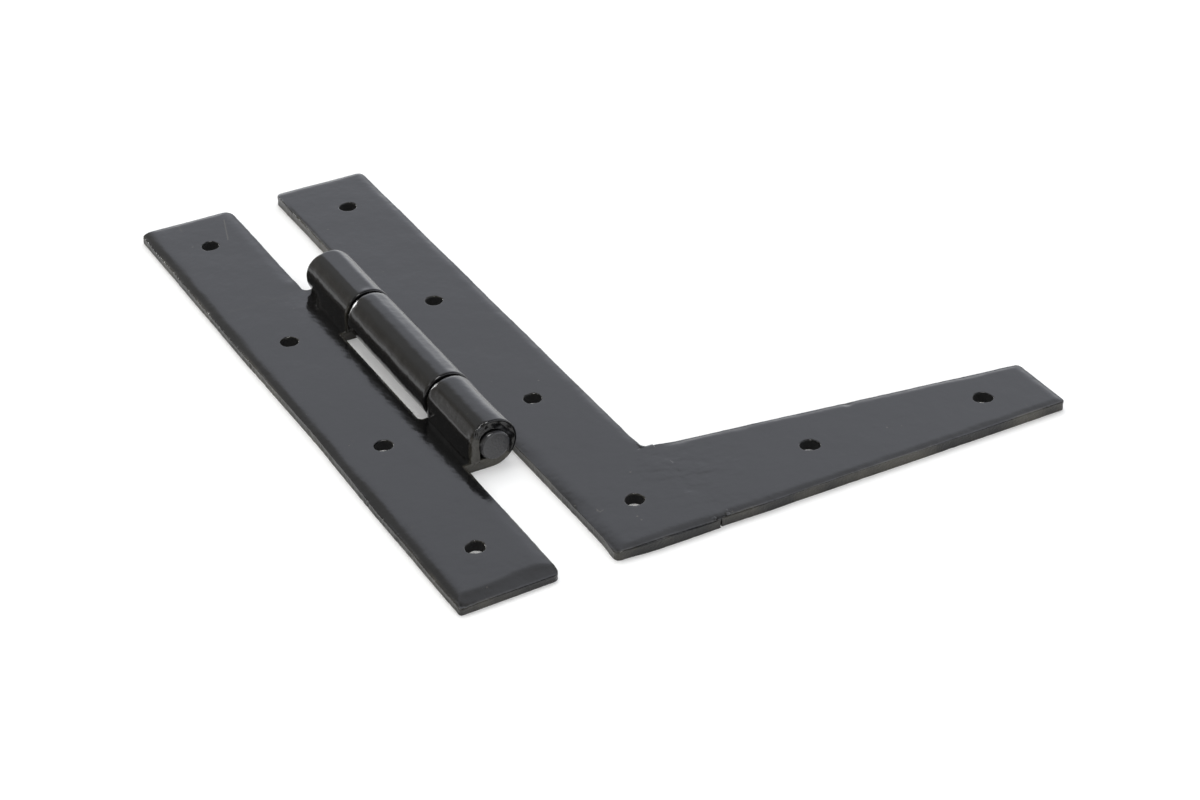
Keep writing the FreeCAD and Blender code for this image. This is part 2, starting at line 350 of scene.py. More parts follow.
@dataclass(frozen=True)
class HammeredEdge:
    """One straight edge of a bar, dressed by hand.

    edge is the number of its first corner. The front falls away by drop over width, and both
    wander along the edge. The outline wanders by wander, and is set in by step at its start.
    start and stop cut the dressing short, as distances along the edge. An inward edge only
    wanders in from its line.
    """

    edge: int
    width: float
    drop: float
    wander: float = 0.0
    seed: int = 0
    inward: bool = False
    start: float = -math.inf
    stop: float = math.inf
    fade: float = 5.0
    sharpness: float = 13.0
    curl: float = 1.15
    uneven: float = 0.05
    step: float = 0.0
    step_reach: float = 15.0
    steepest: float = 30.0
    dent_fade: float = 0.25

    def swing(self, places: Array, table: Waves) -> Array:
        """Add up a table's waves with this edge's own draws."""
        return waves(places, table, self.seed * DRAWS_PER_EDGE)

    def measure(self, outline: Outline, places: Array) -> tuple[Array, Array, Array, Array]:
        """Measure where places lie beside the edge.

        Args:
            outline: the bar's outline.
            places: points on the bar.

        Returns:
            The distances along the edge and in from it, the share of dressing, and as a column
            the distance in the edge's direction from the frame's origin. By that last one, two
            bars whose edges are in line are dressed alike where they meet.
        """
        start, run = outline.points[self.edge], outline.runs()[self.edge]
        ahead = run / np.linalg.norm(run)
        along = (places - start) @ ahead
        inside = (places - start) @ np.array([-ahead[1], ahead[0]])
        share = ease(along, self.start - 0.5 * self.fade, self.fade)
        share *= ease(along, self.stop + 0.5 * self.fade, -self.fade)
        return along, inside, share, (places @ ahead)[:, None]

    def fall(self, outline: Outline, places: Array) -> Array:
        """How far the front has been beaten down at each place.

        The fall is drop times a power of a ramp that is 1 at the edge and 0 at width, softened
        by the logarithm of 1 plus the exponential of sharpness times the ramp. That product is
        held within steepest, so a ramp sharper than that levels out beside its edge.
        """
        _, inside, share, line = self.measure(outline, places)
        width = self.width * (1.0 + self.uneven * self.swing(line, WIDTH_WAVES))
        drop = self.drop * (1.0 + self.uneven * self.swing(line, DROP_WAVES))
        dents = self.uneven * self.drop * self.swing(places, DENT_WAVES)
        ramp = np.clip(self.sharpness * (1.0 - inside / width), -self.steepest, self.steepest)
        soft = np.log1p(np.exp(ramp)) / self.sharpness
        return (drop * soft ** self.curl + dents * ease(soft, 0.0, self.dent_fade)) * share

    def shift(self, outline: Outline, places: Array) -> Array:
        """How the outline wanders: a push along the edge's normal that fades inwards.

        The step at the edge's start eases out over its reach.
        """
        along, inside, share, line = self.measure(outline, places)
        push = self.swing(line, LINE_WAVES)
        if self.inward:
            push = np.minimum(push, 0.0)
        run = outline.runs()[self.edge]
        length = np.linalg.norm(run)
        ends = ease(along, 0.0, WANDER_END) * ease(along, length, -WANDER_END)
        inset = self.step * ease(along, self.step_reach, -self.step_reach)
        total = (self.wander * push * ends * share - inset) * ease(inside, WANDER_DEPTH, -WANDER_DEPTH)
        return total[:, None] * np.array([run[1], -run[0]]) / length


@dataclass(frozen=True)
class RolledEye:
    """The bend of a lug about the pin.

    Up to the pin the lug lies flat. Past it, distance along the lug becomes an angle about the
    pin, measured on the bar's middle, for three quarters of a turn, and the rest runs straight
    down. The back of the bar is outermost. side is 1 where the lug comes from the left. tuck
    turns the end in further: where along the pin this begins, its reach, and the angle.
    """

    pin_x: float
    pin_z: float
    thickness: float
    side: int
    tuck: Triple = (0.0, 1.0, 0.0)

    @property
    def middle_radius(self) -> float:
        """Radius of the bar's middle about the pin."""
        return self.pin_z - self.thickness / 2.0

    def length(self, seam_gap: float) -> float:
        """Length of lug past the pin, down to its own front face less a gap."""
        return THREE_QUARTERS * self.middle_radius + self.pin_z - self.thickness - seam_gap

    def angle(self, x: Array) -> Array:
        """Angle about the pin that a place along the pattern turns to."""
        return np.clip(self.side * (x - self.pin_x) / self.middle_radius, 0.0, THREE_QUARTERS)

    def bend(self, solid: Array) -> Array:
        """Roll a pattern's places, given as X, Y and height above the back."""
        x, y, height = solid.T
        along = self.side * (x - self.pin_x)
        start, reach, turn = self.tuck
        limit = THREE_QUARTERS + turn * ease(y, start, reach)
        angle = np.clip(along / self.middle_radius, 0.0, limit)
        rest = np.maximum(along - limit * self.middle_radius, 0.0)
        radius = self.pin_z - height
        across = radius * np.sin(angle) + rest * np.cos(angle)
        rise = self.pin_z - radius * np.cos(angle) + rest * np.sin(angle)
        rolled = along > 0.0
        return np.column_stack([
            np.where(rolled, self.pin_x + self.side * across, x),
            y,
            np.where(rolled, rise, height),
        ])


@dataclass(frozen=True)
class Knuckle:
    """One rolled length of barrel: where it runs along the pin, and how it was beaten.

    Each flat is its middle's angle round the eye and half its width, in degrees. squeeze is how
    far the last quarter of the roll is pressed in. foot_round and top_round are the roundings
    of the two ends, as pairs of angle in degrees and radius. At its top end the outside falls
    away by the shoulder's drop over its reach. The other pairs are the angle where a step
    begins and how much further it is full, in radians.
    """

    foot: float
    top: float
    flats: tuple[Place, ...] = ()
    squeeze: float = 0.0
    foot_round: tuple[Place, ...] = ((0.0, 0.3), (60.0, 0.5))
    top_round: tuple[Place, ...] = ((0.0, 0.3), (60.0, 0.9))
    shoulder_reach: float = 2.6
    shoulder_drop: float = 0.42
    shoulder_rise: Place = (1.0, 0.8)
    shoulder_fall: Place = (4.1, -0.6)
    squeeze_rise: Place = (math.radians(200.0), 1.2)
    flat_end: float = 2.5
    crease: float = 0.07

    def holds(self, y: Array) -> Array:
        """Tell which places along the pin are this knuckle's."""
        return (y > self.foot - KNUCKLE_SLACK) & (y < self.top + KNUCKLE_SLACK)

    def end_round(self, angle: Array, y: Array) -> Array:
        """Rounding of the nearer end at each angle."""
        degrees = np.degrees(angle)
        low = np.interp(degrees, *zip(*self.foot_round))
        high = np.interp(degrees, *zip(*self.top_round))
        return np.where(y < 0.5 * (self.foot + self.top), low, high)

    def pressed(self, angle: Array, y: Array) -> Array:
        """How far the wall is pressed in past the top of the roll."""
        return self.holds(y) * self.squeeze * ease(angle, *self.squeeze_rise)

    def beaten(self, angle: Array, y: Array, radius: float) -> Array:
        """How far the outside is beaten in by the flats, the squeeze and the shoulder.

        A flat is a chord of the circle, eased at its two creases. The circle stands out from it
        by the radius times 1 less the cosine of the flat's half width over the cosine of the
        angle from its middle. The shoulder is its drop times the square of the way over it.
        """
        flat_share = ease(y, self.foot, self.flat_end) * ease(y, self.top, -self.flat_end)
        depth = self.pressed(angle, y)
        for middle, half in self.flats:
            away = np.clip(np.abs(angle - math.radians(middle)), 0.0, math.radians(2.0 * half))
            chord = radius * (1.0 - math.cos(math.radians(half)) / np.cos(away))
            depth = depth + 0.5 * (chord + np.hypot(chord, self.crease)) * flat_share
        way = np.clip((y - self.top) / self.shoulder_reach + 1.0, 0.0, 1.0) * self.holds(y)
        over_top = ease(angle, *self.shoulder_rise) * ease(angle, *self.shoulder_fall)
        return depth + self.shoulder_drop * way * way * over_top


@dataclass(frozen=True)
class BarrelSkin:
    """The outside of a rolled lug: beaten uneven, with lumpy rounded ends.

    The ends' lumps are a share of their rounding, even_lumps everywhere and rim_lumps more near
    the barrel's foot. Each pair is the angle where a step begins and how much further it is
    full, in radians.
    """

    eye: RolledEye
    knuckles: tuple[Knuckle, ...]
    bore_round: float = 0.5
    rim_lumps: float = 0.1
    seed: int = 0
    least_beaten: float = 0.015
    mean_beaten: float = 0.06
    beaten_rise: Place = (0.0, 1.2)
    even_lumps: float = 0.06
    lump_length: float = 1.5
    lumpy_length: float = 5.0
    lumpy_rise: Place = (3.3, 0.4)
    least_round: float = 0.2
    bore_rise: Place = (2.4, 1.0)
    bore_fall: Place = (4.6, -0.5)
    cover_depth: float = 2.0
    cover_loss: float = 0.8
    cover_rise: Place = (0.7, 0.5)
    cover_end: Place = (3.9, 0.3)

    def beaten(self, flat: Array) -> Array:
        """How far the outside is beaten in: never outward, and none on the flat."""
        angle = self.eye.angle(flat[:, 0])
        wobble = np.maximum(1.0 + waves(flat, BARREL_WAVES, self.seed), 0.0)
        depth = (self.least_beaten + self.mean_beaten * wobble) * ease(angle, *self.beaten_rise)
        return depth + sum(one.beaten(angle, flat[:, 1], self.eye.pin_z) for one in self.knuckles)

    def outer_round(self, flat: Array) -> Array:
        """Rounding of the back's edges: small on the flat, larger and lumpy round the barrel."""
        angle, y = self.eye.angle(flat[:, 0]), flat[:, 1]
        radius = BACK_ROUND
        for knuckle in self.knuckles:
            radius = np.where(knuckle.holds(y), knuckle.end_round(angle, y), radius)
        near = y < self.knuckles[0].foot + self.lumpy_length
        lumps = self.even_lumps + self.rim_lumps * ease(angle, *self.lumpy_rise) * near
        radius = radius * (1.0 + lumps * ripples(flat, self.lump_length, self.seed + 2))
        return np.maximum(radius, self.least_round)

    def inner_round(self, flat: Array) -> Array:
        """Rounding of the front's edges, wider towards the end of the roll."""
        angle = self.eye.angle(flat[:, 0])
        more = ease(angle, *self.bore_rise) * ease(angle, *self.bore_fall)
        return FRONT_ROUND + (self.bore_round - FRONT_ROUND) * more

    def cover(self, flat: Array) -> Array:
        """Distance from a bare edge that the paint looks as if it had, which keeps the wear colour and its
        painted floor reflection off the barrel, thick with paint.
        """
        angle = self.eye.angle(flat[:, 0])
        left = 1.0 - self.cover_loss * ease(angle, *self.cover_end)
        return self.cover_depth * ease(angle, *self.cover_rise) * left

    def pressed(self, flat: Array) -> Array:
        """How far the inside moves towards the pin where the wall is pressed in."""
        angle = self.eye.angle(flat[:, 0])
        return sum(knuckle.pressed(angle, flat[:, 1]) for knuckle in self.knuckles)


def grid_lines(stops: Sequence[tuple[float, bool, float]]) -> Array:
    """Places of a grid's lines along one axis.

    Args:
        stops: for each place that has to be a line: where it is, whether it is an edge, and the
            spacing above it. Lines crowd towards an edge and are even elsewhere.

    Returns:
        The places, rising.
    """
    places = [np.array([stops[0][0]])]
    for (low, low_edge, step), (high, high_edge, _) in zip(stops, stops[1:]):
        ladder = EDGE_LADDER[EDGE_LADDER < LADDER_SHARE * (high - low)]
        up = low + ladder[:len(ladder) * low_edge]
        down = high - ladder[:len(ladder) * high_edge][::-1]
        first = up[-1] if len(up) else low
        last = down[0] if len(down) else high
        count = max(1, round((last - first) / step))
        places += [up, np.linspace(first, last, count + 1)[1:-1], down, np.array([high])]
    return np.concatenate(places)


def open_edges(cells: Array) -> Array:
    """Edges that only one cell uses, each in that cell's own direction."""
    edges = np.stack([cells, np.roll(cells, -1, axis=1)], axis=-1).reshape(-1, 2)
    _, first, uses = np.unique(np.sort(edges, axis=1), axis=0, return_index=True, return_counts=True)
    return edges[first[uses == 1]]


def ring_quads(rows: Array) -> Array:
    """Quads between rows of point numbers, where each row is a closed ring."""
    after = np.roll(rows, -1, axis=1)
    return np.stack([rows[:-1], after[:-1], after[1:], rows[1:]], axis=-1).reshape(-1, 4)


def skin_rings(rings: Array, first_tip: Sequence, last_tip: Sequence) -> tuple[Array, Array, Array]:
    """Close a row of rings into a solid: quads between rings, a fan to a tip at each end.

    Args:
        rings: points by ring, by place round the ring, by coordinate.
        first_tip: the point that closes the first ring.
        last_tip: the point that closes the last ring.

    Returns:
        The points, the quads and the triangles.
    """
    count, around = rings.shape[:2]
    points = np.concatenate([rings.reshape(-1, 3), [first_tip, last_tip]])
    number = np.arange(count * around).reshape(count, around)
    after = np.roll(number, -1, axis=1)
    tips = np.full(around, count * around)
    start = np.column_stack([after[0], number[0], tips])
    end = np.column_stack([number[-1], after[-1], tips + 1])
    return points, ring_quads(number), np.concatenate([start, end])


def dressing(solid: Array, seam: Optional[Place]) -> Array:
    """How much each place was ground when the seam was dressed: a bell round the seam's middle."""
    if seam is None:
        return np.zeros(len(solid))
    away = np.linalg.norm(solid[:, :2] - seam, axis=1) / DRESSED_REACH
    return np.exp(-away * away)


def nowhere(places: Array) -> Array:
    """Zero for each place."""
    return np.zeros(len(places))


@dataclass
class FlatBar:
    """A piece of flat bar: cut, drilled, dressed at its edges and maybe rolled at a lug.

    It is worked out in the flat. Its front and back sheets share one grid, the cut walls join
    them, and the bend comes last. blocks are the low and high corners of the grid that is taken
    out round each hole, and the grid is fine between the two places of fine_x.
    """

    name: str
    thickness: float
    pattern: Outline
    holes: Sequence[Hole]
    blocks: Sequence[Four]
    edges: Sequence[HammeredEdge]
    corners: dict[int, float]
    seed: int
    fine_x: Sequence[float] = ()
    shape: Callable[[Array], Array] = lambda places: places
    bend: Callable[[Array], Array] = lambda solid: solid
    front_extra: Callable[[Array], Array] = nowhere
    back_extra: Callable[[Array], Array] = nowhere
    front_round: Callable[[Array], Array | float] = lambda places: FRONT_ROUND
    back_round: Callable[[Array], Array | float] = lambda places: BACK_ROUND
    cover: Callable[[Array], Array] = nowhere
    dents: Sequence[Dent] = ()
    hole_round: float = 0.26
    wall_rough: float = 0.05
    wall_lumps: float = 0.0
    dressed_round: Optional[Place] = None

    def stops(self, axis: int) -> list[tuple[float, bool, float]]:
        """The outline's own places along an axis, as edges, with the hole blocks' between."""
        fine = sorted(self.fine_x) if axis == 0 else []
        edges = {round(point[axis], 6) for point in self.pattern.points}
        plain = {round(block[axis + side], 6) for block in self.blocks for side in (0, 2)}
        rising = sorted(edges | plain | {round(place, 6) for place in fine})
        steps = [BARREL_STEP if fine and fine[0] <= place < fine[1] else FLAT_STEP for place in rising]
        return [(place, place in edges, step) for place, step in zip(rising, steps)]

    def flat_sheet(self) -> tuple[Array, Array]:
        """Lay the grid out over the pattern, with rings of cells round each hole.

        The grid is every x line crossed with every y line. Cells outside the outline and in the
        hole blocks are left out. In a block, ring points go straight from the block's border to
        the rim, in the border point's own direction.

        Returns:
            The points, and the cells as rows of four point numbers, counterclockwise.
        """
        xs, ys = grid_lines(self.stops(0)), grid_lines(self.stops(1))
        across, up = np.meshgrid(xs, ys)
        points = np.column_stack([across.ravel(), up.ravel()])
        number = np.arange(len(points)).reshape(across.shape)
        cells = np.stack([number[:-1, :-1], number[:-1, 1:], number[1:, 1:], number[1:, :-1]], axis=-1)
        middles = points[cells].mean(axis=2)
        kept = self.pattern.holds(middles.reshape(-1, 2)).reshape(middles.shape[:2])
        points = self.shape(points)
        sheets = [points]
        rings = []
        total = len(points)
        for hole, (low_x, low_y, high_x, high_y) in zip(self.holes, self.blocks):
            left, right = np.searchsorted(xs, [low_x - LINE_SLACK, high_x - LINE_SLACK])
            foot, top = np.searchsorted(ys, [low_y - LINE_SLACK, high_y - LINE_SLACK])
            kept[foot:top, left:right] = False
            border = np.concatenate([
                number[foot, left:right],
                number[foot:top, right],
                number[top, right:left:-1],
                number[top:foot:-1, left],
            ])
            spokes = points[border] - (hole.x, hole.y)
            angle = np.arctan2(spokes[:, 1], spokes[:, 0])
            toward = np.column_stack([np.cos(angle), np.sin(angle)])
            rim = (hole.x, hole.y) + hole.rim(angle)[:, None] * toward
            shares = np.append(RIM_LADDER / RIM_REACH, 0.0)[:, None, None]
            sheets.append((rim + shares * (points[border] - rim)).reshape(-1, 2))
            added = total + np.arange(len(sheets[-1])).reshape(-1, len(border))
            rings.append(ring_quads(np.vstack([border, added])))
            total += added.size
        cells = np.concatenate([cells[kept]] + rings)
        used, renumbered = np.unique(cells, return_inverse=True)
        return np.concatenate(sheets)[used], renumbered.reshape(-1, 4)

    def heights(self, places: Array, outline: Outline) -> tuple[Array, Array, Array, Array]:
        """Heights of the front and back over each place, and distances to an edge and a hole.

        The front is the thickness, less each edge's dressing where it is deepest, less the
        rounding of the outline and of the holes and the dents, plus a slow unevenness.
        """
        edge = outline.distance(places)
        hole = np.maximum(np.min([one.distance(places) for one in self.holes], axis=0), 0.0)
        fall = np.max([one.fall(outline, places) for one in self.edges], axis=0)
        front = self.thickness - fall + self.front_extra(places)
        front += waves(places, FRONT_WAVES) * ease(edge, 0.0, WAVES_INSET)
        front -= quarter_round(edge, self.front_round(places))
        front -= quarter_round(hole, self.hole_round * (1.0 + waves(places, RIM_WAVES)))
        for dent in self.dents:
            front -= dent.fall(places)
        back = self.back_extra(places) + quarter_round(edge, self.back_round(places))
        return front, back + quarter_round(hole, HOLE_BACK_ROUND), edge, hole

    def cut_wall(self, flat: Array, moved: Array, border: Array, front: Array,
                 back: Array) -> tuple[Array, Array, Array]:
        """Work out the wall between the front's and the back's border.

        A wall point stands in from the straight line between the two by half a sine wave, made
        uneven by ripples along the wall and up it.

        Args:
            flat: the sheet's points before the outline was dressed.
            moved: the same points after.
            border: the sheet's open edges, as pairs of point numbers.
            front: heights of the front.
            back: heights of the back.

        Returns:
            The border's point numbers, each edge's two places among them, and the wall's points.
        """
        around, ends = np.unique(border, return_inverse=True)
        ends = ends.reshape(-1, 2)
        run = moved[border[:, 1]] - moved[border[:, 0]]
        outward = np.zeros((len(around), 2))
        for column in (0, 1):
            np.add.at(outward, ends[:, column], np.column_stack([run[:, 1], -run[:, 0]]))
        outward /= np.maximum(np.linalg.norm(outward, axis=1, keepdims=True), 1e-9)

        shares = WALL_ROWS[1:-1, None]
        rows = (len(shares), 1)
        level = (front[around] + shares * (back[around] - front[around])).ravel()
        rough = np.column_stack([np.tile(flat[around], rows), level * WALL_CLOSENESS])
        swell = np.sin(math.pi * np.repeat(WALL_ROWS[1:-1], len(around)))
        push = self.wall_rough * (1.0 + waves(rough, ROUGH_WAVES, self.seed))
        push += self.wall_lumps * (1.0 + waves(rough, LUMP_WAVES, self.seed))
        inward = np.maximum(push * swell, 0.0)[:, None]
        wall = np.tile(moved[around], rows) - inward * np.tile(outward, rows)
        return around, ends, np.column_stack([wall, level])

    def build(self) -> Object:
        """Work the bar out and make its mesh.

        Returns:
            The piece, not yet painted or on its body.
        """
        flat, cells = self.flat_sheet()
        outline = Outline(self.shape(self.pattern.points))
        front, back, edge, hole = self.heights(flat, outline)
        moved = flat
        for corner, radius in self.corners.items():
            moved = outline.round_corner(moved, corner, radius)
        for one in self.edges:
            moved = moved + one.shift(outline, flat)
        moved[:, 1] = np.maximum(moved[:, 1], outline.points[:, 1].min())

        around, ends, wall = self.cut_wall(flat, moved, open_edges(cells), front, back)
        size = len(flat)
        solid = np.concatenate([np.column_stack([moved, front]), np.column_stack([moved, back]), wall])
        inner = 2 * size + np.arange(len(wall)).reshape(-1, len(around))
        rows = np.vstack([around, inner, size + around])
        first, last = rows[:, ends[:, 0]], rows[:, ends[:, 1]]
        walls = np.stack([last[:-1], first[:-1], first[1:], last[1:]], axis=-1).reshape(-1, 4)
        faces = np.concatenate([cells, cells[:, ::-1] + size, walls])

        cover = self.cover(flat)
        sheet = np.maximum(np.minimum(edge, hole + HOLE_SPARED), cover)
        bore = (hole < BORE_REACH).astype(float)
        marks = {
            # Distance from an edge: it places the wear colour, including its painted floor reflection on the
            # walls
            "edge_distance": np.concatenate([sheet, sheet, np.tile(cover[around], len(inner))]),
            # Mask of the screw holes' walls, painted near black there as painted shade, and rougher
            "in_bore": np.concatenate([np.zeros(size), bore, np.tile(bore[around], len(inner))]),
            "dressed": dressing(solid, self.dressed_round),
        }
        return make_piece(self.name, self.bend(solid), [faces], marks)


@dataclass(frozen=True)
class Measures:
    """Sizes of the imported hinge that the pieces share, in millimetres."""

    thickness: float
    pin_x: float
    pin_z: float
    pin_radius: float
    pin_foot: float
    h_left: float
    h_foot: float
    h_top: float
    hl_left: float
    hl_right: float
    hl_foot: float
    hl_top: float
    arm_tip: float
    arm_root_top: float
    holes: dict[str, list[Place]]

    # How far the pin stands proud at its foot and lies in at its top, and the knuckles along it
    pin_proud: float = 0.8
    pin_sunk: float = 0.25
    lower_length: float = 21.9
    centre_length: float = 41.7
    upper_length: float = 22.7
    side_gap: float = 0.3

    # Each roll runs on into its own lug, so that no light shows through the seam
    seam_gap: float = -0.6

    # How far the weld's seam leans out along the arm at its foot, and the middle of the ground
    # patch round it: how far out from the seam's top, and at what share of the arm's root
    seam_lean: float = 1.6
    patch_out: float = 4.5
    patch_share: float = 0.62

    @property
    def arm_root(self) -> float:
        """The arm's width at its root."""
        return self.arm_root_top - self.hl_foot

    @property
    def seam_middle(self) -> Place:
        """Middle of the ground patch round the seam, a little out along the arm."""
        return self.hl_right + self.patch_out, self.hl_foot + self.patch_share * self.arm_root

    def seam_shift(self, y: Array) -> Array:
        """How far the seam stands to the right of its top end at each height."""
        return self.seam_lean * (1.0 - np.clip((y - self.hl_foot) / self.arm_root, 0.0, 1.0))

    @property
    def lower(self) -> Place:
        """Foot and top of the lower knuckle."""
        foot = self.pin_foot + self.pin_proud
        return foot, foot + self.lower_length

    @property
    def centre(self) -> Place:
        """Foot and top of the centre knuckle."""
        foot = self.lower[1] + self.side_gap
        return foot, foot + self.centre_length

    @property
    def upper(self) -> Place:
        """Foot and top of the upper knuckle."""
        foot = self.centre[1] + self.side_gap
        return foot, foot + self.upper_length

    @property
    def pin_end(self) -> float:
        """The pin's top end, which lies just inside the upper knuckle."""
        return self.upper[1] - self.pin_sunk

    @classmethod
    def read(cls, packed: dict, edge_clearance: float = 0.12) -> "Measures":
        """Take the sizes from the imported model's boxes, mounts and joint.

        Args:
            packed: the frame.
            edge_clearance: how far the hl leaf's edge stands clear of the barrel.

        Returns:
            The sizes.
        """
        (h_left, h_foot, _), (_, h_top, _) = np.array(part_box("h_leaf")) / MM
        (_, hl_foot, _), (hl_right, hl_top, _) = np.array(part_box("hl_leaf")) / MM
        _, (arm_tip, arm_root_top, thickness) = np.array(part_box("arm")) / MM
        (_, pin_foot, pin_low), (_, _, pin_high) = np.array(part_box("pin")) / MM
        pin_x, _, pin_z = np.array(packed["joints"][0]["pos_m"]) / MM
        holes: dict[str, list[Place]] = {}
        for mount in packed["record"]["mounts"]:
            if mount["kind"] == "bore":
                bar = mount["name"].rsplit("_hole_", 1)[0]
                holes.setdefault(bar, []).append(tuple(np.array(mount["pos_m"][:2]) / MM))
        return cls(thickness, pin_x, pin_z, (pin_high - pin_low) / 2.0, pin_foot, h_left, h_foot, h_top,
                   pin_x + pin_z + edge_clearance, hl_right, hl_foot, hl_top, arm_tip, arm_root_top, holes)


def hole_block(x: float, y: float, half: float = HOLE_BLOCK) -> Four:
    """The rectangle of grid round a place, with half its height."""
    return x - HOLE_BLOCK, y - half, x + HOLE_BLOCK, y + half


def finish_piece(piece: Object, node: str, body: Body, slot: Slot, paints: dict[Slot, Material]) -> None:
    """Paint a piece and put it on its body in place of its node."""
    piece.data.materials.append(paints[slot])
    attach(piece, body.value)
    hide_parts(node)
    LOG.info("%s: %d faces on %s", piece.name, len(piece.data.polygons), body.value)


@dataclass
class FixedLeaf:
    """The h leaf, a strap with its two outer knuckles rolled from lugs, and the pin.

    A bevel is its width and drop. left_hollow is the middle, reach and depth of the hollow in
    the left edge. corner_round is how far the foot's knocked corner reaches, and how much
    rounder it is. upper_tuck is where the tuck begins on the upper knuckle, its reach and its
    angle. A hole's rim is its radius and its lobes. pin_upset is the reach of the pin's swollen
    foot end, its swelling, and how far it is knocked aside and down.
    """

    sizes: Measures
    slot_undercut: float = 0.5
    foot_bevel: Place = (3.9, 1.0)
    left_bevel: Place = (3.1, 0.95)
    right_bevel: Place = (2.8, 0.35)
    top_bevel: Place = (1.5, 0.27)
    lug_clearance: float = 5.0
    side_fall_size: Place = (9.0, 0.36)
    side_fall_ends: float = 6.0
    side_fall_fade: float = 5.0
    foot_skew: float = 0.75
    foot_drop: float = 0.18
    skew_reach: float = 16.0
    left_hollow: Triple = (-13.0, 44.0, 0.5)
    hollow_width: float = 7.0
    corner_round: Place = (2.5, 0.45)
    dents: tuple[Dent, ...] = (
        Dent(-11.5, -88.2, 0.5, 0.3),
        Dent(-10.4, -88.7, 0.4, 0.25),
        Dent(-8.9, -88.6, 0.35, 0.2),
    )
    foot_left_corner: float = 1.1
    foot_right_corner: float = 1.7
    top_right_corner: float = 2.6
    top_left_corner: float = 1.1
    lug_fillet: float = 1.6
    slot_foot_corner: float = 1.0
    slot_top_corner: float = 0.5
    lower_flats: tuple[Place, ...] = ((234.0, 15.0),)
    lower_squeeze: float = 0.45
    lower_foot_round: tuple[Place, ...] = ((0.0, 0.3), (60.0, 0.4), (185.0, 0.4), (215.0, 1.2), (245.0, 0.8))
    lower_top_round: tuple[Place, ...] = ((0.0, 0.3), (60.0, 0.7))
    upper_flats: tuple[Place, ...] = ((182.0, 17.0),)
    upper_foot_round: tuple[Place, ...] = ((0.0, 0.3), (60.0, 0.5))
    upper_top_round: tuple[Place, ...] = ((0.0, 0.3), (60.0, 0.9), (185.0, 0.9), (225.0, 0.4))
    upper_tuck: Triple = (14.0, 8.0, 0.5)
    rims: tuple = (
        (2.18, ((2, 0.06, 30.0), (3, 0.05, 80.0))),
        (2.14, ((2, 0.05, 0.0),)),
        (2.13, ((2, 0.05, 10.0), (5, 0.03, 20.0))),
        (2.22, ((2, 0.06, 15.0), (3, 0.10, 55.0), (6, 0.04, 20.0))),
    )
    pin_sides: int = 112
    pin_end_round: float = 0.75
    pin_dome: float = 0.04
    pin_face_rows: tuple[float, ...] = (0.12, 0.3, 0.5, 0.7, 0.85)
    pin_round_rows: int = 9
    pin_body_rows: int = 30
    pin_body_inset: float = 3.0
    pin_upset: Four = (1.6, 0.35, 0.6, -0.4)

    def skin(self) -> BarrelSkin:
        """The outside of the two outer knuckles, rolled about the pin from the left."""
        size = self.sizes
        start, reach, turn = self.upper_tuck
        eye = RolledEye(size.pin_x, size.pin_z, size.thickness, 1, (size.upper[0] + start, reach, turn))
        lower = Knuckle(*size.lower, self.lower_flats, self.lower_squeeze, self.lower_foot_round,
                        self.lower_top_round)
        upper = Knuckle(*size.upper, self.upper_flats, 0.0, self.upper_foot_round, self.upper_top_round)
        return BarrelSkin(eye, (lower, upper), bore_round=0.7, rim_lumps=0.3, seed=61)

    def side_fall(self, flat: Array) -> Array:
        """The front falls away towards the barrel by the square of the way to the right edge."""
        width, drop = self.side_fall_size
        ends, fade = self.side_fall_ends, self.side_fall_fade
        x, y = flat.T
        right = -self.sizes.h_left
        near = np.clip((x - right) / width + 1.0, 0.0, 1.0)
        beside = ease(y, self.sizes.lower[0] - ends, ends) * ease(y, self.sizes.upper[1] + ends, -ends)
        return -drop * near * near * ease(x, right + fade, -fade) * beside

    def worn_shape(self, places: Array) -> Array:
        """Cut the foot a little out of square, and hollow the left edge round one place."""
        x, y = places.T
        left, foot = self.sizes.h_left, self.sizes.h_foot
        middle, reach, depth = self.left_hollow
        hollow = depth * ease(np.abs(y - middle), reach, -reach)
        hollow *= ease(x, left + self.hollow_width, -self.hollow_width)
        across = np.clip((x - left) / (-2.0 * left), 0.0, 1.0)
        rise = self.foot_skew * across - self.foot_drop
        rise *= ease(y, foot + self.skew_reach, -self.skew_reach)
        return np.column_stack([x + hollow, y + rise])

    def front_round(self, flat: Array) -> Array:
        """Rounding of the front's edges, wider at the knocked corner of the foot."""
        reach, more = self.corner_round
        away = np.hypot(flat[:, 0] - self.sizes.h_left, flat[:, 1] - self.sizes.h_foot)
        return self.skin().inner_round(flat) + more * ease(away, reach, -reach)

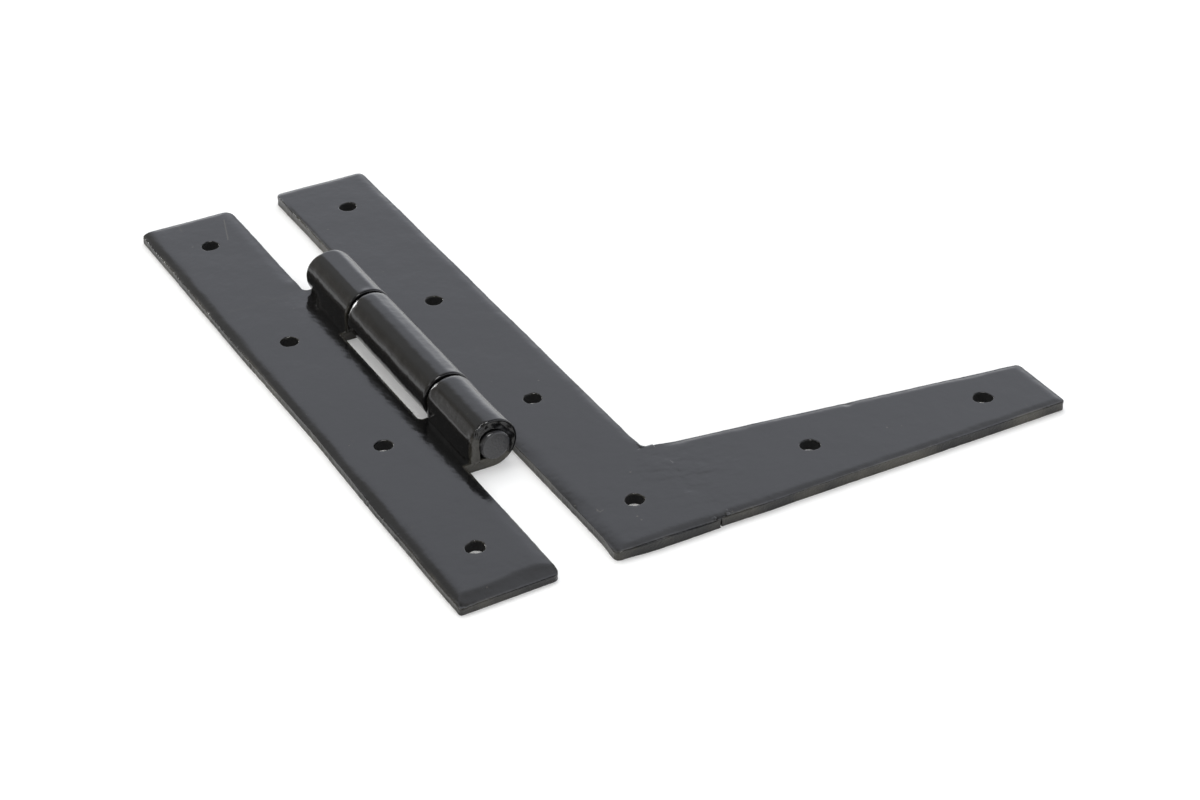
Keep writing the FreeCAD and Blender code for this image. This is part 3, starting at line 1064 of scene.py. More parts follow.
    def build_leaf(self) -> Object:
        """Work out the strap: a rectangle with two lugs on its right and a slot between."""
        size = self.sizes
        skin = self.skin()
        left, right = size.h_left, -size.h_left
        slot = right - self.slot_undercut
        reach = size.pin_x + skin.eye.length(size.seam_gap)
        lower_foot, lower_top = size.lower
        upper_foot, upper_top = size.upper
        pattern = Outline(np.array([
            (left, size.h_foot), (right, size.h_foot),
            (right, lower_foot), (reach, lower_foot), (reach, lower_top),
            (slot, lower_top), (slot, upper_foot),
            (reach, upper_foot), (reach, upper_top), (right, upper_top),
            (right, size.h_top), (left, size.h_top),
        ]))
        places = size.holes["h_leaf"]
        right_stop = lower_foot - size.h_foot - self.lug_clearance
        return FlatBar(
            name="h_leaf_painted",
            thickness=size.thickness,
            pattern=pattern,
            holes=[Hole(*place, *rim) for place, rim in zip(places, self.rims)],
            blocks=[hole_block(0.0, y) for _, y in places],
            edges=(
                HammeredEdge(11, *self.left_bevel, 0.05, 11, True, sharpness=9.0, curl=1.6),
                HammeredEdge(0, *self.foot_bevel, 0.04, 12, True, sharpness=30.0, curl=0.8),
                HammeredEdge(1, *self.right_bevel, 0.03, 13, stop=right_stop),
                HammeredEdge(9, *self.right_bevel, 0.03, 14, start=self.lug_clearance),
                HammeredEdge(10, *self.top_bevel, 0.05, 15, True),
            ),
            corners={
                0: self.foot_left_corner,
                1: self.foot_right_corner,
                5: self.slot_foot_corner,
                6: self.slot_top_corner,
                9: self.lug_fillet,
                10: self.top_right_corner,
                11: self.top_left_corner,
            },
            seed=3,
            fine_x=(size.pin_x, reach),
            shape=self.worn_shape,
            bend=skin.eye.bend,
            front_extra=lambda flat: self.side_fall(flat) + skin.pressed(flat),
            front_round=self.front_round,
            dents=self.dents,
            cover=skin.cover,
            back_extra=skin.beaten,
            back_round=skin.outer_round,
            wall_lumps=0.07,
        ).build()

    def build_pin(self) -> Object:
        """Turn the pin: a radius for each place along it, swept round its axis.

        Past each end's shoulder the radius follows a quarter circle, and the end face between
        is faintly domed. The foot end is upset: swollen, and knocked aside and down.
        """
        size = self.sizes
        corner = self.pin_end_round
        face_radius = size.pin_radius - corner
        turn = np.linspace(0.0, QUARTER_TURN, self.pin_round_rows)
        share = np.array(self.pin_face_rows)
        end_radius = np.concatenate([share * face_radius, face_radius + corner * np.sin(turn)])
        end_depth = self.pin_dome * np.append(share ** 2, np.ones(len(turn)))
        end_depth[len(share):] += corner * (1.0 - np.cos(turn))
        inset = self.pin_body_inset
        body = np.linspace(size.pin_foot + inset, size.pin_end - inset, self.pin_body_rows)
        along = np.concatenate([size.pin_foot + end_depth, body, size.pin_end - end_depth[::-1]])
        radius = np.concatenate([end_radius, np.full(len(body), size.pin_radius), end_radius[::-1]])
        angle = np.linspace(0.0, 2.0 * math.pi, self.pin_sides, endpoint=False)
        reach, swelling, aside, sunk = self.pin_upset
        upset = ease(along, size.pin_foot + reach, -reach)
        radius = (radius * (1.0 + swelling * upset / size.pin_radius))[:, None]
        across = size.pin_x + (aside * upset)[:, None] + radius * np.cos(angle)
        height = size.pin_z + (sunk * upset)[:, None] - radius * np.sin(angle)
        rings = np.stack([across, np.broadcast_to(along[:, None], across.shape), height], axis=-1)
        points, quads, fans = skin_rings(
            rings,
            (size.pin_x + aside, size.pin_foot, size.pin_z + sunk),
            (size.pin_x, size.pin_end, size.pin_z),
        )
        edge = np.minimum(points[:, 1] - size.pin_foot, size.pin_end - points[:, 1])
        return make_piece("pin_painted", points, [quads, fans], {"edge_distance": edge})

    def dress(self, paints: dict[Slot, Material]) -> None:
        """Make the pieces, paint them and put them on the fixed body."""
        finish_piece(self.build_leaf(), "h_leaf", Body.FIXED, Slot.BAR, paints)
        finish_piece(self.build_pin(), "pin", Body.FIXED, Slot.PIN, paints)


@dataclass
class SwingingLeaf:
    """The hl leaf with its centre knuckle, the tapered arm, and the weld between them.

    A bevel is its width and drop, and a hole's rim its radius and its lobes. bow_ends are how
    far from the knuckle and the foot the left edge's bow is full, and lift_reach how far across
    and up the lift of its corner reaches. arm_foot_rise is how far out it begins, its reach and
    its height. weld_end_fall is its reach and height.
    """

    sizes: Measures
    upper_left_bevel: Place = (1.1, 0.4)
    lower_left_bevel: Place = (3.6, 0.75)
    right_bevel: Place = (2.1, 0.38)
    foot_bevel: Place = (2.0, 0.42)
    top_bevel: Place = (1.6, 0.33)
    arm_top_bevel: Place = (1.8, 0.32)
    arm_tip_bevel: Place = (2.2, 0.45)
    edge_clearance: float = 4.0
    upper_left_start: float = 7.0
    arm_tip_width: float = 18.6
    arm_hole_inset: float = 16.0
    leaf_lean_reach: float = 8.0
    arm_lean_reach: float = 10.0
    left_bow: float = 0.5
    bow_ends: Place = (6.0, 8.0)
    bow_reach: float = 7.0
    corner_lift: float = 0.45
    lift_reach: Place = (12.0, 8.0)
    arm_foot_rise: Triple = (8.0, 14.0, 0.42)
    foot_corner: float = 1.5
    top_right_corner: float = 2.2
    top_left_corner: float = 1.8
    arm_tip_corner: float = 1.3
    arm_foot_step: float = 0.28
    seam_corner: float = 0.35
    slit_width: float = 0.45
    slit_reach: float = 4.0
    groove_half_width: float = 1.2
    groove_depth: float = 2.0
    weld_stop: float = 0.5
    weld_corner: float = 1.9
    weld_lap: float = 1.3
    weld_sunk: float = 0.7
    weld_proud: float = 0.01
    weld_side_fall: float = 0.03
    weld_end_fall: Place = (0.6, 0.1)
    weld_root_sunk: float = 0.1
    weld_front_round: float = 0.45
    weld_step: float = 0.5
    weld_rows: int = 25
    fillet_round_rows: int = 7
    fillet_side_rows: tuple[float, ...] = (0.65, 0.35)
    weld_cover: float = 2.0
    knuckle_flats: tuple[Place, ...] = ((196.0, 12.0),)
    knuckle_top_round: tuple[Place, ...] = ((0.0, 0.3), (60.0, 0.7), (120.0, 1.0))
    bore_wear: float = 0.08
    leaf_dents: tuple[Dent, ...] = (Dent(25.7, -67.3, 0.35, 0.12), Dent(25.9, -69.6, 0.3, 0.1))
    arm_dents: tuple[Dent, ...] = (
        Dent(51.6, -63.6, 0.6, 0.06),
        Dent(53.6, -65.2, 0.5, 0.06),
        Dent(100.8, -65.3, 0.9, 0.22),
    )
    leaf_rims: tuple = (
        (2.18, ((2, 0.06, 20.0), (3, 0.05, 40.0))),
        (2.14, ((3, 0.03, 10.0),)),
        (2.13, ((2, 0.06, 10.0), (4, 0.04, 30.0))),
        (2.2, ((2, 0.07, 20.0), (3, 0.05, 80.0))),
    )
    arm_rims: tuple = (
        (2.2, ((2, 0.16, -25.0), (3, 0.09, 70.0))),
        (2.24, ((2, 0.15, -20.0), (3, 0.08, 75.0))),
    )

    def foot_edge(self, step: float = 0.0) -> HammeredEdge:
        """The foot's dressing, which runs on from the leaf over the weld to the arm."""
        return HammeredEdge(0, *self.foot_bevel, 0.04, 21, True, step=step)

    def groove(self, edge: int, seed: int, **limits: float) -> HammeredEdge:
        """One side of the groove along the seam, straight and even."""
        return HammeredEdge(edge, self.groove_half_width, self.groove_depth, seed=seed, fade=0.4,
                            sharpness=60.0, curl=1.0, uneven=0.0, **limits)

    def leaned(self, places: Array) -> Array:
        """Lean the right edge out along the seam, bow the left edge in and lift its corner."""
        size = self.sizes
        top_end, foot_end = self.bow_ends
        across, up = self.lift_reach
        x, y = places.T
        near = np.clip((x - size.hl_right) / self.leaf_lean_reach + 1.0, 0.0, 1.0)
        left = np.clip(1.0 - (x - size.hl_left) / self.bow_reach, 0.0, 1.0)
        bow = self.left_bow * ease(y, size.centre[0], -top_end) * ease(y, size.hl_foot, foot_end) * left
        lift = ease(x, size.hl_left + across, -across) * ease(y, size.hl_foot + up, -up)
        return np.column_stack([x + near * size.seam_shift(y) + bow, y + self.corner_lift * lift])

    def build_leaf(self) -> Object:
        """Work out the strap: a rectangle with the centre knuckle's lug on its left."""
        size = self.sizes
        eye = RolledEye(size.pin_x, size.pin_z, size.thickness, -1)
        knuckle = Knuckle(*size.centre, self.knuckle_flats, top_round=self.knuckle_top_round)
        skin = BarrelSkin(eye, (knuckle,), seed=71)
        reach = size.pin_x - eye.length(size.seam_gap)
        foot, top = size.centre
        left, right = size.hl_left, size.hl_right
        pattern = Outline(np.array([
            (left, size.hl_foot), (right, size.hl_foot), (right, size.arm_root_top),
            (right, size.hl_top), (left, size.hl_top),
            (left, top), (reach, top), (reach, foot), (left, foot),
        ]))
        slit = {"step": self.slit_width, "step_reach": self.slit_reach}
        clear = self.edge_clearance
        upper_stop = size.hl_top - top - clear
        places = size.holes["hl_leaf"]
        return FlatBar(
            name="hl_leaf_painted",
            thickness=size.thickness,
            pattern=pattern,
            holes=[Hole(*place, *rim) for place, rim in zip(places, self.leaf_rims)],
            blocks=[hole_block((left + right) / 2.0, y) for _, y in places],
            edges=(
                self.foot_edge(),
                self.groove(1, 22, start=self.weld_stop, stop=size.arm_root, **slit),
                HammeredEdge(2, *self.right_bevel, 0.03, 23, start=clear, sharpness=10.0, curl=1.3),
                HammeredEdge(3, *self.top_bevel, 0.04, 24, True),
                HammeredEdge(4, *self.upper_left_bevel, 0.04, 25, start=self.upper_left_start,
                             stop=upper_stop),
                HammeredEdge(8, *self.lower_left_bevel, 0.04, 26, start=clear, sharpness=9.0, curl=1.5),
            ),
            corners={
                0: self.foot_corner,
                1: self.seam_corner,
                3: self.top_right_corner,
                4: self.top_left_corner,
            },
            seed=5,
            fine_x=(reach, size.pin_x),
            shape=self.leaned,
            bend=eye.bend,
            front_extra=lambda flat: -self.bore_wear * ease(eye.angle(flat[:, 0]), *skin.beaten_rise),
            front_round=skin.inner_round,
            cover=skin.cover,
            back_extra=skin.beaten,
            back_round=skin.outer_round,
            dents=self.leaf_dents,
            dressed_round=size.seam_middle,
        ).build()

    @property
    def arm_slope(self) -> float:
        """How much the arm widens for each millimetre towards its tip: less than zero."""
        return (self.arm_tip_width - self.sizes.arm_root) / (self.sizes.arm_tip - self.sizes.hl_right)

    def arm_width(self, x: Array | float) -> Array | float:
        """Width of the arm at a place along it."""
        return self.sizes.arm_root + (x - self.sizes.hl_right) * self.arm_slope

    def tapered(self, places: Array) -> Array:
        """Scale heights by the arm's width there, lean the seam's side and lift the foot beyond."""
        size = self.sizes
        start, reach, height = self.arm_foot_rise
        x, y = places.T
        share = (y - size.hl_foot) / size.arm_root
        rise = share * self.arm_width(x)
        rise += height * (1.0 - share) * ease(x, size.hl_right + start, reach)
        near = np.clip(1.0 - (x - size.hl_right) / self.arm_lean_reach, 0.0, 1.0)
        return np.column_stack([x + near * size.seam_shift(y), size.hl_foot + rise])

    def build_arm(self) -> Object:
        """Work out the arm: a rectangle as wide as its root, squeezed to the taper."""
        size = self.sizes
        left, right = size.hl_right, size.arm_tip
        foot, top = size.hl_foot, size.arm_root_top
        middle = foot + size.arm_root / 2.0
        half = HOLE_BLOCK * size.arm_root / self.arm_width(right - self.arm_hole_inset)
        top_stop = right - left - self.edge_clearance
        places = size.holes["arm"]
        return FlatBar(
            name="arm_painted",
            thickness=size.thickness,
            pattern=Outline(np.array([(left, foot), (right, foot), (right, top), (left, top)])),
            holes=[Hole(*place, *rim) for place, rim in zip(places, self.arm_rims)],
            blocks=[hole_block(x, middle, half) for x, _ in places],
            edges=(
                self.foot_edge(self.arm_foot_step),
                HammeredEdge(1, *self.arm_tip_bevel, 0.04, 32, True),
                HammeredEdge(2, *self.arm_top_bevel, 0.04, 33, stop=top_stop, sharpness=25.0, curl=1.0),
                self.groove(3, 34, stop=size.arm_root - self.weld_stop),
            ),
            corners={0: self.seam_corner, 1: self.arm_tip_corner, 2: self.arm_tip_corner},
            seed=7,
            shape=self.tapered,
            dents=self.arm_dents,
            dressed_round=size.seam_middle,
        ).build()

    def weld_bead(self) -> tuple[Array, Array, Array]:
        """Fill the groove: a V closed by a cap that is dressed flush and laps over both bars.

        The cap follows the bars' own front, with their foot's bevel, and dives just below it at
        its sides by the sixth power of the distance from the middle.
        """
        size = self.sizes
        reach = self.groove_half_width + self.weld_lap
        cap_across = np.linspace(-reach, reach, self.weld_rows)
        across = np.append(cap_across, [self.groove_half_width, 0.0, -self.groove_half_width])
        length = size.arm_root - self.weld_stop
        stops = [(0.0, True, self.weld_step), (length, True, self.weld_step)]
        along = size.hl_foot + self.weld_stop + grid_lines(stops)
        offset, y = np.meshgrid(across, along)
        middle_x = size.hl_right + size.seam_shift(along)
        x = offset + middle_x[:, None]
        places = np.column_stack([x.ravel(), y.ravel()])
        foot = Outline(np.array([(size.hl_left, size.hl_foot), (size.arm_tip, size.hl_foot)]))
        share = np.abs(offset) / reach
        dressed = waves(places, CAP_WAVES) * (1.0 - share.ravel() ** 2)
        bars = waves(places, FRONT_WAVES) - self.foot_edge().fall(foot, places) + dressed
        end_reach, end_height = self.weld_end_fall
        ends = ease(np.minimum(along - along[0], along[-1] - along), end_reach, -end_reach)
        cap = size.thickness + self.weld_proud - self.weld_side_fall * share ** 6
        cap = cap + bars.reshape(x.shape) - end_height * ends[:, None]
        root = size.thickness - self.groove_depth * (1.0 - share * reach / self.groove_half_width)
        root -= self.weld_root_sunk
        height = np.where(np.arange(len(across)) < len(cap_across), cap, root)
        middle = size.thickness - 0.5 * self.groove_depth
        tips = [(middle_x[end], along[end], middle) for end in (0, -1)]
        points, quads, fans = skin_rings(np.stack([x, y, height], axis=-1), *tips)
        return points, quads[:, ::-1], fans[:, ::-1]

    def weld_fillet(self) -> tuple[Array, Array, Array]:
        """Fill the inner corner: sections fanned from an L let into both bars to a quarter circle.

        Each section runs up its foot of the L, across the front, over a rounded edge and down
        the hollow side.
        """
        size = self.sizes
        front = size.thickness + self.weld_proud
        turn = np.linspace(0.0, QUARTER_TURN, self.weld_rows)
        arc = self.weld_corner * (1.0 - np.column_stack([np.cos(turn), np.sin(turn)]))
        share = np.linspace(-1.0, 1.0, len(turn))
        leg = self.weld_corner + self.weld_sunk
        inner = leg * np.maximum(np.column_stack([share, -share]), 0.0) - self.weld_sunk
        bend = np.linspace(0.0, QUARTER_TURN, self.fillet_round_rows)
        over, under = 1.0 - np.cos(bend), 1.0 - np.sin(bend)
        side = np.array(self.fillet_side_rows) * size.thickness
        inset = np.concatenate([self.weld_front_round * under, 0.0 * side, BACK_ROUND * over])
        level = np.concatenate([front - self.weld_front_round * over, side, BACK_ROUND * under])
        outward = arc - inner
        outward /= np.linalg.norm(outward, axis=1, keepdims=True)
        rim = arc[:, None] - outward[:, None] * inset[:, None]
        flat = np.concatenate([np.repeat(inner[:, None], 2, axis=1), rim], axis=1)
        height = np.broadcast_to(np.append([0.0, front], level), flat.shape[:2])
        x = flat[..., 0]
        y = flat[..., 1] + self.arm_slope * np.maximum(x, 0.0)
        rings = np.stack([x + size.hl_right, y + size.arm_root_top, height], axis=-1)
        return skin_rings(rings, rings[0].mean(axis=0), rings[-1].mean(axis=0))

    def build_weld(self) -> Object:
        """Join the bead and the corner's fillet into the one piece of weld metal."""
        bead, fillet = self.weld_bead(), self.weld_fillet()
        points = np.concatenate([bead[0], fillet[0]])
        faces = [np.concatenate([bead[part], fillet[part] + len(bead[0])]) for part in (1, 2)]
        marks = {
            "edge_distance": np.full(len(points), self.weld_cover),
            "dressed": dressing(points, self.sizes.seam_middle),
        }
        return make_piece("arm_weld_painted", points, faces, marks)

    def dress(self, paints: dict[Slot, Material]) -> None:
        """Make the pieces, paint them and put them on the swinging body."""
        finish_piece(self.build_leaf(), "hl_leaf", Body.SWINGING, Slot.BAR, paints)
        finish_piece(self.build_arm(), "arm", Body.SWINGING, Slot.BAR, paints)
        finish_piece(self.build_weld(), "arm_weld", Body.SWINGING, Slot.WELD, paints)


@dataclass
class NodeBench:
    """A short way to add and join nodes in one tree."""

    tree: NodeTree

    def add(self, kind: str, inputs: Optional[dict] = None, **settings: object) -> Node:
        """Add a node, set its own settings, and set or join its inputs.

        Args:
            kind: Blender's name of the node's type, without ShaderNode at its front.
            inputs: by socket name or number, a value or the output socket to join.
            settings: the node's own properties.

        Returns:
            The new node.
        """
        node = self.tree.nodes.new(kind if kind.startswith("Node") else "ShaderNode" + kind)
        for name, value in settings.items():
            setattr(node, name, value)
        for name, value in (inputs or {}).items():
            if isinstance(value, NodeSocket):
                self.tree.links.new(value, node.inputs[name])
            else:
                node.inputs[name].default_value = value
        return node

    def math(self, operation: str, *values: object) -> NodeSocket:
        """Add a Math node and give its output."""
        return self.add("Math", dict(enumerate(values)), operation=operation).outputs[0]

    def times(self, first: object, second: object) -> NodeSocket:
        """Multiply two values."""
        return self.math("MULTIPLY", first, second)

    def plus(self, first: object, second: object) -> NodeSocket:
        """Add two values."""
        return self.math("ADD", first, second)

    def most(self, first: object, second: object) -> NodeSocket:
        """The larger of two values."""
        return self.math("MAXIMUM", first, second)

    def vector(self, operation: str, output: str, *values: object, **named: object) -> NodeSocket:
        """Add a Vector Math node and give the output of a name."""
        inputs = dict(enumerate(values)) | named
        return self.add("VectorMath", inputs, operation=operation).outputs[output]

    def blend(self, share: object, first: object, second: object) -> NodeSocket:
        """Mix two colours by a share and give the result."""
        return self.add("Mix", {0: share, 6: first, 7: second}, data_type="RGBA").outputs[2]

    def ramp(self, value: object, low: float, high: float, out_low: float = 0.0,
             out_high: float = 1.0) -> NodeSocket:
        """Map a value from one range to another, smoothly and held at the ends."""
        inputs = {"Value": value, "From Min": low, "From Max": high, "To Min": out_low, "To Max": out_high}
        return self.add("MapRange", inputs, interpolation_type="SMOOTHSTEP").outputs[0]

    def noise(self, place: NodeSocket, scale: float, detail: float) -> NodeSocket:
        """Add a Noise Texture and give its value."""
        return self.add("TexNoise", {"Vector": place, "Scale": scale, "Detail": detail}).outputs[0]

    def mark(self, name: str) -> NodeSocket:
        """Read one of the values that make_piece keeps on the vertices."""
        return self.add("Attribute", attribute_name=name).outputs["Fac"]


def empty_bench(owner: Material | World) -> NodeBench:
    """Clear a material's or world's own tree and give a bench for it."""
    owner.use_nodes = True
    owner.node_tree.nodes.clear()
    return NodeBench(owner.node_tree)


@dataclass(frozen=True)
class Scratch:
    """A straight scratch on the front, from one place to another, in millimetres."""

    start: Place
    end: Place
    width: float
    strength: float

    def mask(self, bench: NodeBench, place: NodeSocket) -> NodeSocket:
        """Make the scratch's mask: one less the distance from its line over its width.

        The nearest place on the line is its start plus the run, times the share of the run that
        the dot product gives, held between 0 and 1.
        """
        start = Vector((*self.start, 0.0)) * MM
        run = Vector((*self.end, 0.0)) * MM - start
        flat = bench.vector("MULTIPLY", "Vector", place, (1.0, 1.0, 0.0))
        apart = bench.vector("SUBTRACT", "Vector", flat, start)
        share = bench.vector("DOT_PRODUCT", "Value", apart, run / run.length_squared)
        held = bench.add("Clamp", {"Value": share}).outputs[0]
        nearest = bench.vector("SCALE", "Vector", run, Scale=held)
        away = bench.vector("DISTANCE", "Value", apart, nearest)
        return bench.ramp(away, 0.0, self.width * MM, self.strength, 0.0)


SCRATCHES = (
    Scratch((8.7, 84.8), (5.6, 74.9), 0.3, 0.95),
    Scratch((-2.6, 88.2), (-3.05, 84.4), 0.28, 0.75),
    Scratch((-8.6, 42.4), (8.9, 42.8), 0.25, 0.4),
    Scratch((29.8, -72.9), (29.85, -74.2), 0.26, 0.9),
    Scratch((29.85, -74.2), (30.8, -73.9), 0.26, 0.9),
    Scratch((55.2, -88.1), (55.5, -88.0), 0.25, 0.8),
)


def scratch_group() -> NodeTree:
    """All the scratches as one mask, in a group that the paint uses once."""
    tree = bpy.data.node_groups.new("scratches", "ShaderNodeTree")
    tree.interface.new_socket("Mask", in_out="OUTPUT", socket_type="NodeSocketFloat")
    bench = NodeBench(tree)
    place = bench.add("TexCoord").outputs["Object"]
    mask = SCRATCHES[0].mask(bench, place)
    for scratch in SCRATCHES[1:]:
        mask = bench.most(mask, scratch.mask(bench, place))
    bench.add("NodeGroupOutput", {"Mask": mask})
    return tree


@dataclass(frozen=True)
class PaintFilm:
    """The brushed and dipped black paint, as a group that every finish uses.

    A noise is its scale and detail. A ramp is the low and high end of what goes in, and maybe
    what comes out at each. Distances from an edge are millimetres, and places are metres. A nib
    is a speck of dust under the film, in some of a pattern's cells, more of them near the foot.
    """

    patches: Place = (55.0, 4.0)
    wear_and_reflection_edge: Four = (0.1, 0.9, 1.0, 0.0)
    # Where the wear colour shows: full at cut walls, so it also paints the side walls' floor reflection
    wear_and_reflection_patch: Place = (0.4, 0.65)
    specks: Place = (900.0, 2.0)
    dust: Four = (0.7, 0.8, 0.0, 0.5)
    nib_scale: float = 300.0
    nib_foot: Four = (-0.08, -0.05, 0.2, 0.0)
    nib_draw: Place = (0.9, 0.91)
    nib_size: Four = (0.045, 0.1, 1.0, 0.0)
    nib_edge: Place = (0.1, 0.4)
    nib_height: Four = (0.0029, 0.0031, 1.0, 0.0)
    # Painted shade: near-black colour inside the screw holes, where shade falls
    bore_painted_shade: Four = (0.0008, 0.0008, 0.0008, 1.0)
    bore_rough: float = 0.55
    edge_rough: Four = (0.0, 0.15, 0.2, 0.0)
    fine_peel: Place = (950.0, 2.0)
    fine_height: float = 0.45
    broad_peel: Place = (190.0, 2.0)
    broad_height: float = 2.4
    grit: Place = (1700.0, 1.0)
    grit_edge: Four = (0.0, 0.7, 2.2, 0.0)
    ground: Place = (400.0, 1.5)
    ground_height: float = 4.2
    ground_turn: Triple = (0.0, 0.0, 0.6)
    ground_stretch: Triple = (0.6, 1.0, 1.0)

    def nibs(self, bench: NodeBench, place: NodeSocket, edge: NodeSocket) -> NodeSocket:
        """Mask of the nibs, which stay clear of the edges and no higher than the bars' fronts."""
        cells = bench.add("TexVoronoi", {"Vector": place, "Scale": self.nib_scale}).outputs
        draw = bench.add("SeparateColor", {0: cells["Color"]}).outputs[0]
        up = bench.add("SeparateXYZ", {0: place}).outputs
        chosen = bench.ramp(bench.plus(draw, bench.ramp(up["Y"], *self.nib_foot)), *self.nib_draw)
        nib = bench.times(bench.ramp(cells["Distance"], *self.nib_size), chosen)
        nib = bench.times(nib, bench.ramp(edge, *self.nib_edge))
        return bench.times(nib, bench.ramp(up["Z"], *self.nib_height))

    def relief(self, bench: NodeBench, place: NodeSocket, edge: NodeSocket, peel: NodeSocket) -> NodeSocket:
        """Height of orange peel, grit at edges, and drawn-out waves where the seam was ground."""
        fine = bench.times(bench.noise(place, *self.fine_peel), self.fine_height)
        broad = bench.times(bench.noise(place, *self.broad_peel), self.broad_height)
        height = bench.times(bench.plus(fine, broad), peel)
        grit = bench.times(bench.noise(place, *self.grit), bench.ramp(edge, *self.grit_edge))
        height = bench.plus(height, grit)
        drawn = bench.add("Mapping", {
            "Vector": place,
            "Rotation": self.ground_turn,
            "Scale": self.ground_stretch,
        })
        ground = bench.noise(drawn.outputs[0], *self.ground)
        share = bench.times(bench.mark("dressed"), self.ground_height)
        return bench.plus(height, bench.times(ground, share))

    def group(self) -> NodeTree:
        """Build the group.

        Colour drifts between the film and its thinner places, more so at edges; on the side walls
        that lighter olive tint is also a painted reflection of the floor. Inside the screw holes the
        colour is painted near black, as painted shade. Roughness drifts in patches.
        """
        tree = bpy.data.node_groups.new("paint_film", "ShaderNodeTree")
        sockets = (
            ("Film", "INPUT", "Color"),
            ("Worn_and_painted_reflection", "INPUT", "Color"),
            ("Roughness", "INPUT", "Float"),
            ("Patchiness", "INPUT", "Float"),
            ("Peel", "INPUT", "Float"),
            ("Colour", "OUTPUT", "Color"),
            ("Roughness", "OUTPUT", "Float"),
            ("Height", "OUTPUT", "Float"),
        )
        for name, way, kind in sockets:
            tree.interface.new_socket(name, in_out=way, socket_type="NodeSocket" + kind)
        bench = NodeBench(tree)
        given = bench.add("NodeGroupInput").outputs
        place = bench.add("TexCoord").outputs["Object"]
        edge = bench.mark("edge_distance")
        bore = bench.mark("in_bore")
        patches = bench.noise(place, *self.patches)

        # Wear colour at edges and walls in patches; on the side walls it also stands in for the floor's
        # reflection, as painted reflection
        wear_and_reflection = bench.times(bench.ramp(edge, *self.wear_and_reflection_edge), bench.ramp(patches, *self.wear_and_reflection_patch))
        dust = bench.ramp(bench.noise(place, *self.specks), *self.dust)
        share = bench.most(wear_and_reflection, bench.most(dust, self.nibs(bench, place, edge)))
        share = bench.most(share, bench.add("Group", node_tree=scratch_group()).outputs[0])
        colour = bench.blend(share, given["Film"], given["Worn_and_painted_reflection"])
        # Painted shade: the colour goes near black inside the screw holes
        colour = bench.blend(bore, colour, self.bore_painted_shade)

        drift = bench.math("SUBTRACT", patches, 0.5)
        rough = bench.plus(given["Roughness"], bench.times(drift, given["Patchiness"]))
        rough = bench.plus(rough, bench.times(bore, self.bore_rough))
        rough = bench.plus(rough, bench.ramp(edge, *self.edge_rough))
        height = self.relief(bench, place, edge, given["Peel"])
        bench.add("NodeGroupOutput", {"Colour": colour, "Roughness": rough, "Height": height})
        return tree


@dataclass(frozen=True)
class Paint:
    """A finish of black paint over iron."""

    name: str
    film: Triple = (0.0042, 0.0042, 0.0044)
    # Colour of paint rubbed down at edges, walls, specks, nibs and scratches; its light olive tint on the
    # floor-facing side walls is a painted reflection of the floor
    worn_and_painted_reflection: Triple = (0.042, 0.039, 0.031)
    roughness: float = 0.15
    patchiness: float = 0.08
    peel: float = 1.0
    ior: float = 1.5
    peel_depth: float = 0.000058

    def material(self, film_group: NodeTree) -> Material:
        """Make the material, with the paint film's group feeding one shader."""
        material = bpy.data.materials.new(self.name)
        bench = empty_bench(material)
        film = bench.add("Group", {
            "Film": (*self.film, 1.0),
            "Worn_and_painted_reflection": (*self.worn_and_painted_reflection, 1.0),
            "Roughness": self.roughness,
            "Patchiness": self.patchiness,
            "Peel": self.peel,
        }, node_tree=film_group).outputs
        relief = bench.add("Bump", {"Height": film["Height"], "Distance": self.peel_depth, "Strength": 1.0})
        surface = bench.add("BsdfPrincipled", {
            "Base Color": film["Colour"],
            "Roughness": film["Roughness"],
            "Normal": relief.outputs[0],
            "IOR": self.ior,
        })
        bench.add("OutputMaterial", {"Surface": surface.outputs[0]})
        return material


@dataclass(frozen=True)
class Lamp:
    """A square soft lamp that faces the hinge.

    azimuth is degrees from +Y towards +X, and elevation degrees above the floor. distance and
    size are metres, and power is watts. hidden_from is the setting that is switched off, so
    that one kind of ray doesn't see it.
    """

    name: str
    azimuth: float
    elevation: float
    distance: float
    size: float
    power: float
    hidden_from: Optional[str] = None

    def hang(self) -> None:
        """Put the lamp into the scene."""
        turn, rise = math.radians(self.azimuth), math.radians(self.elevation)
        toward = Vector((math.sin(turn) * math.cos(rise), math.cos(turn) * math.cos(rise), math.sin(rise)))
        data = bpy.data.lights.new(self.name, "AREA")
        data.size = self.size
        data.energy = self.power
        lamp = show(self.name, data)
        facing = toward.to_track_quat("Z", "Y").to_matrix().to_4x4()
        lamp.matrix_world = Matrix.Translation(toward * self.distance) @ facing
        if self.hidden_from:
            setattr(lamp, self.hidden_from, False)


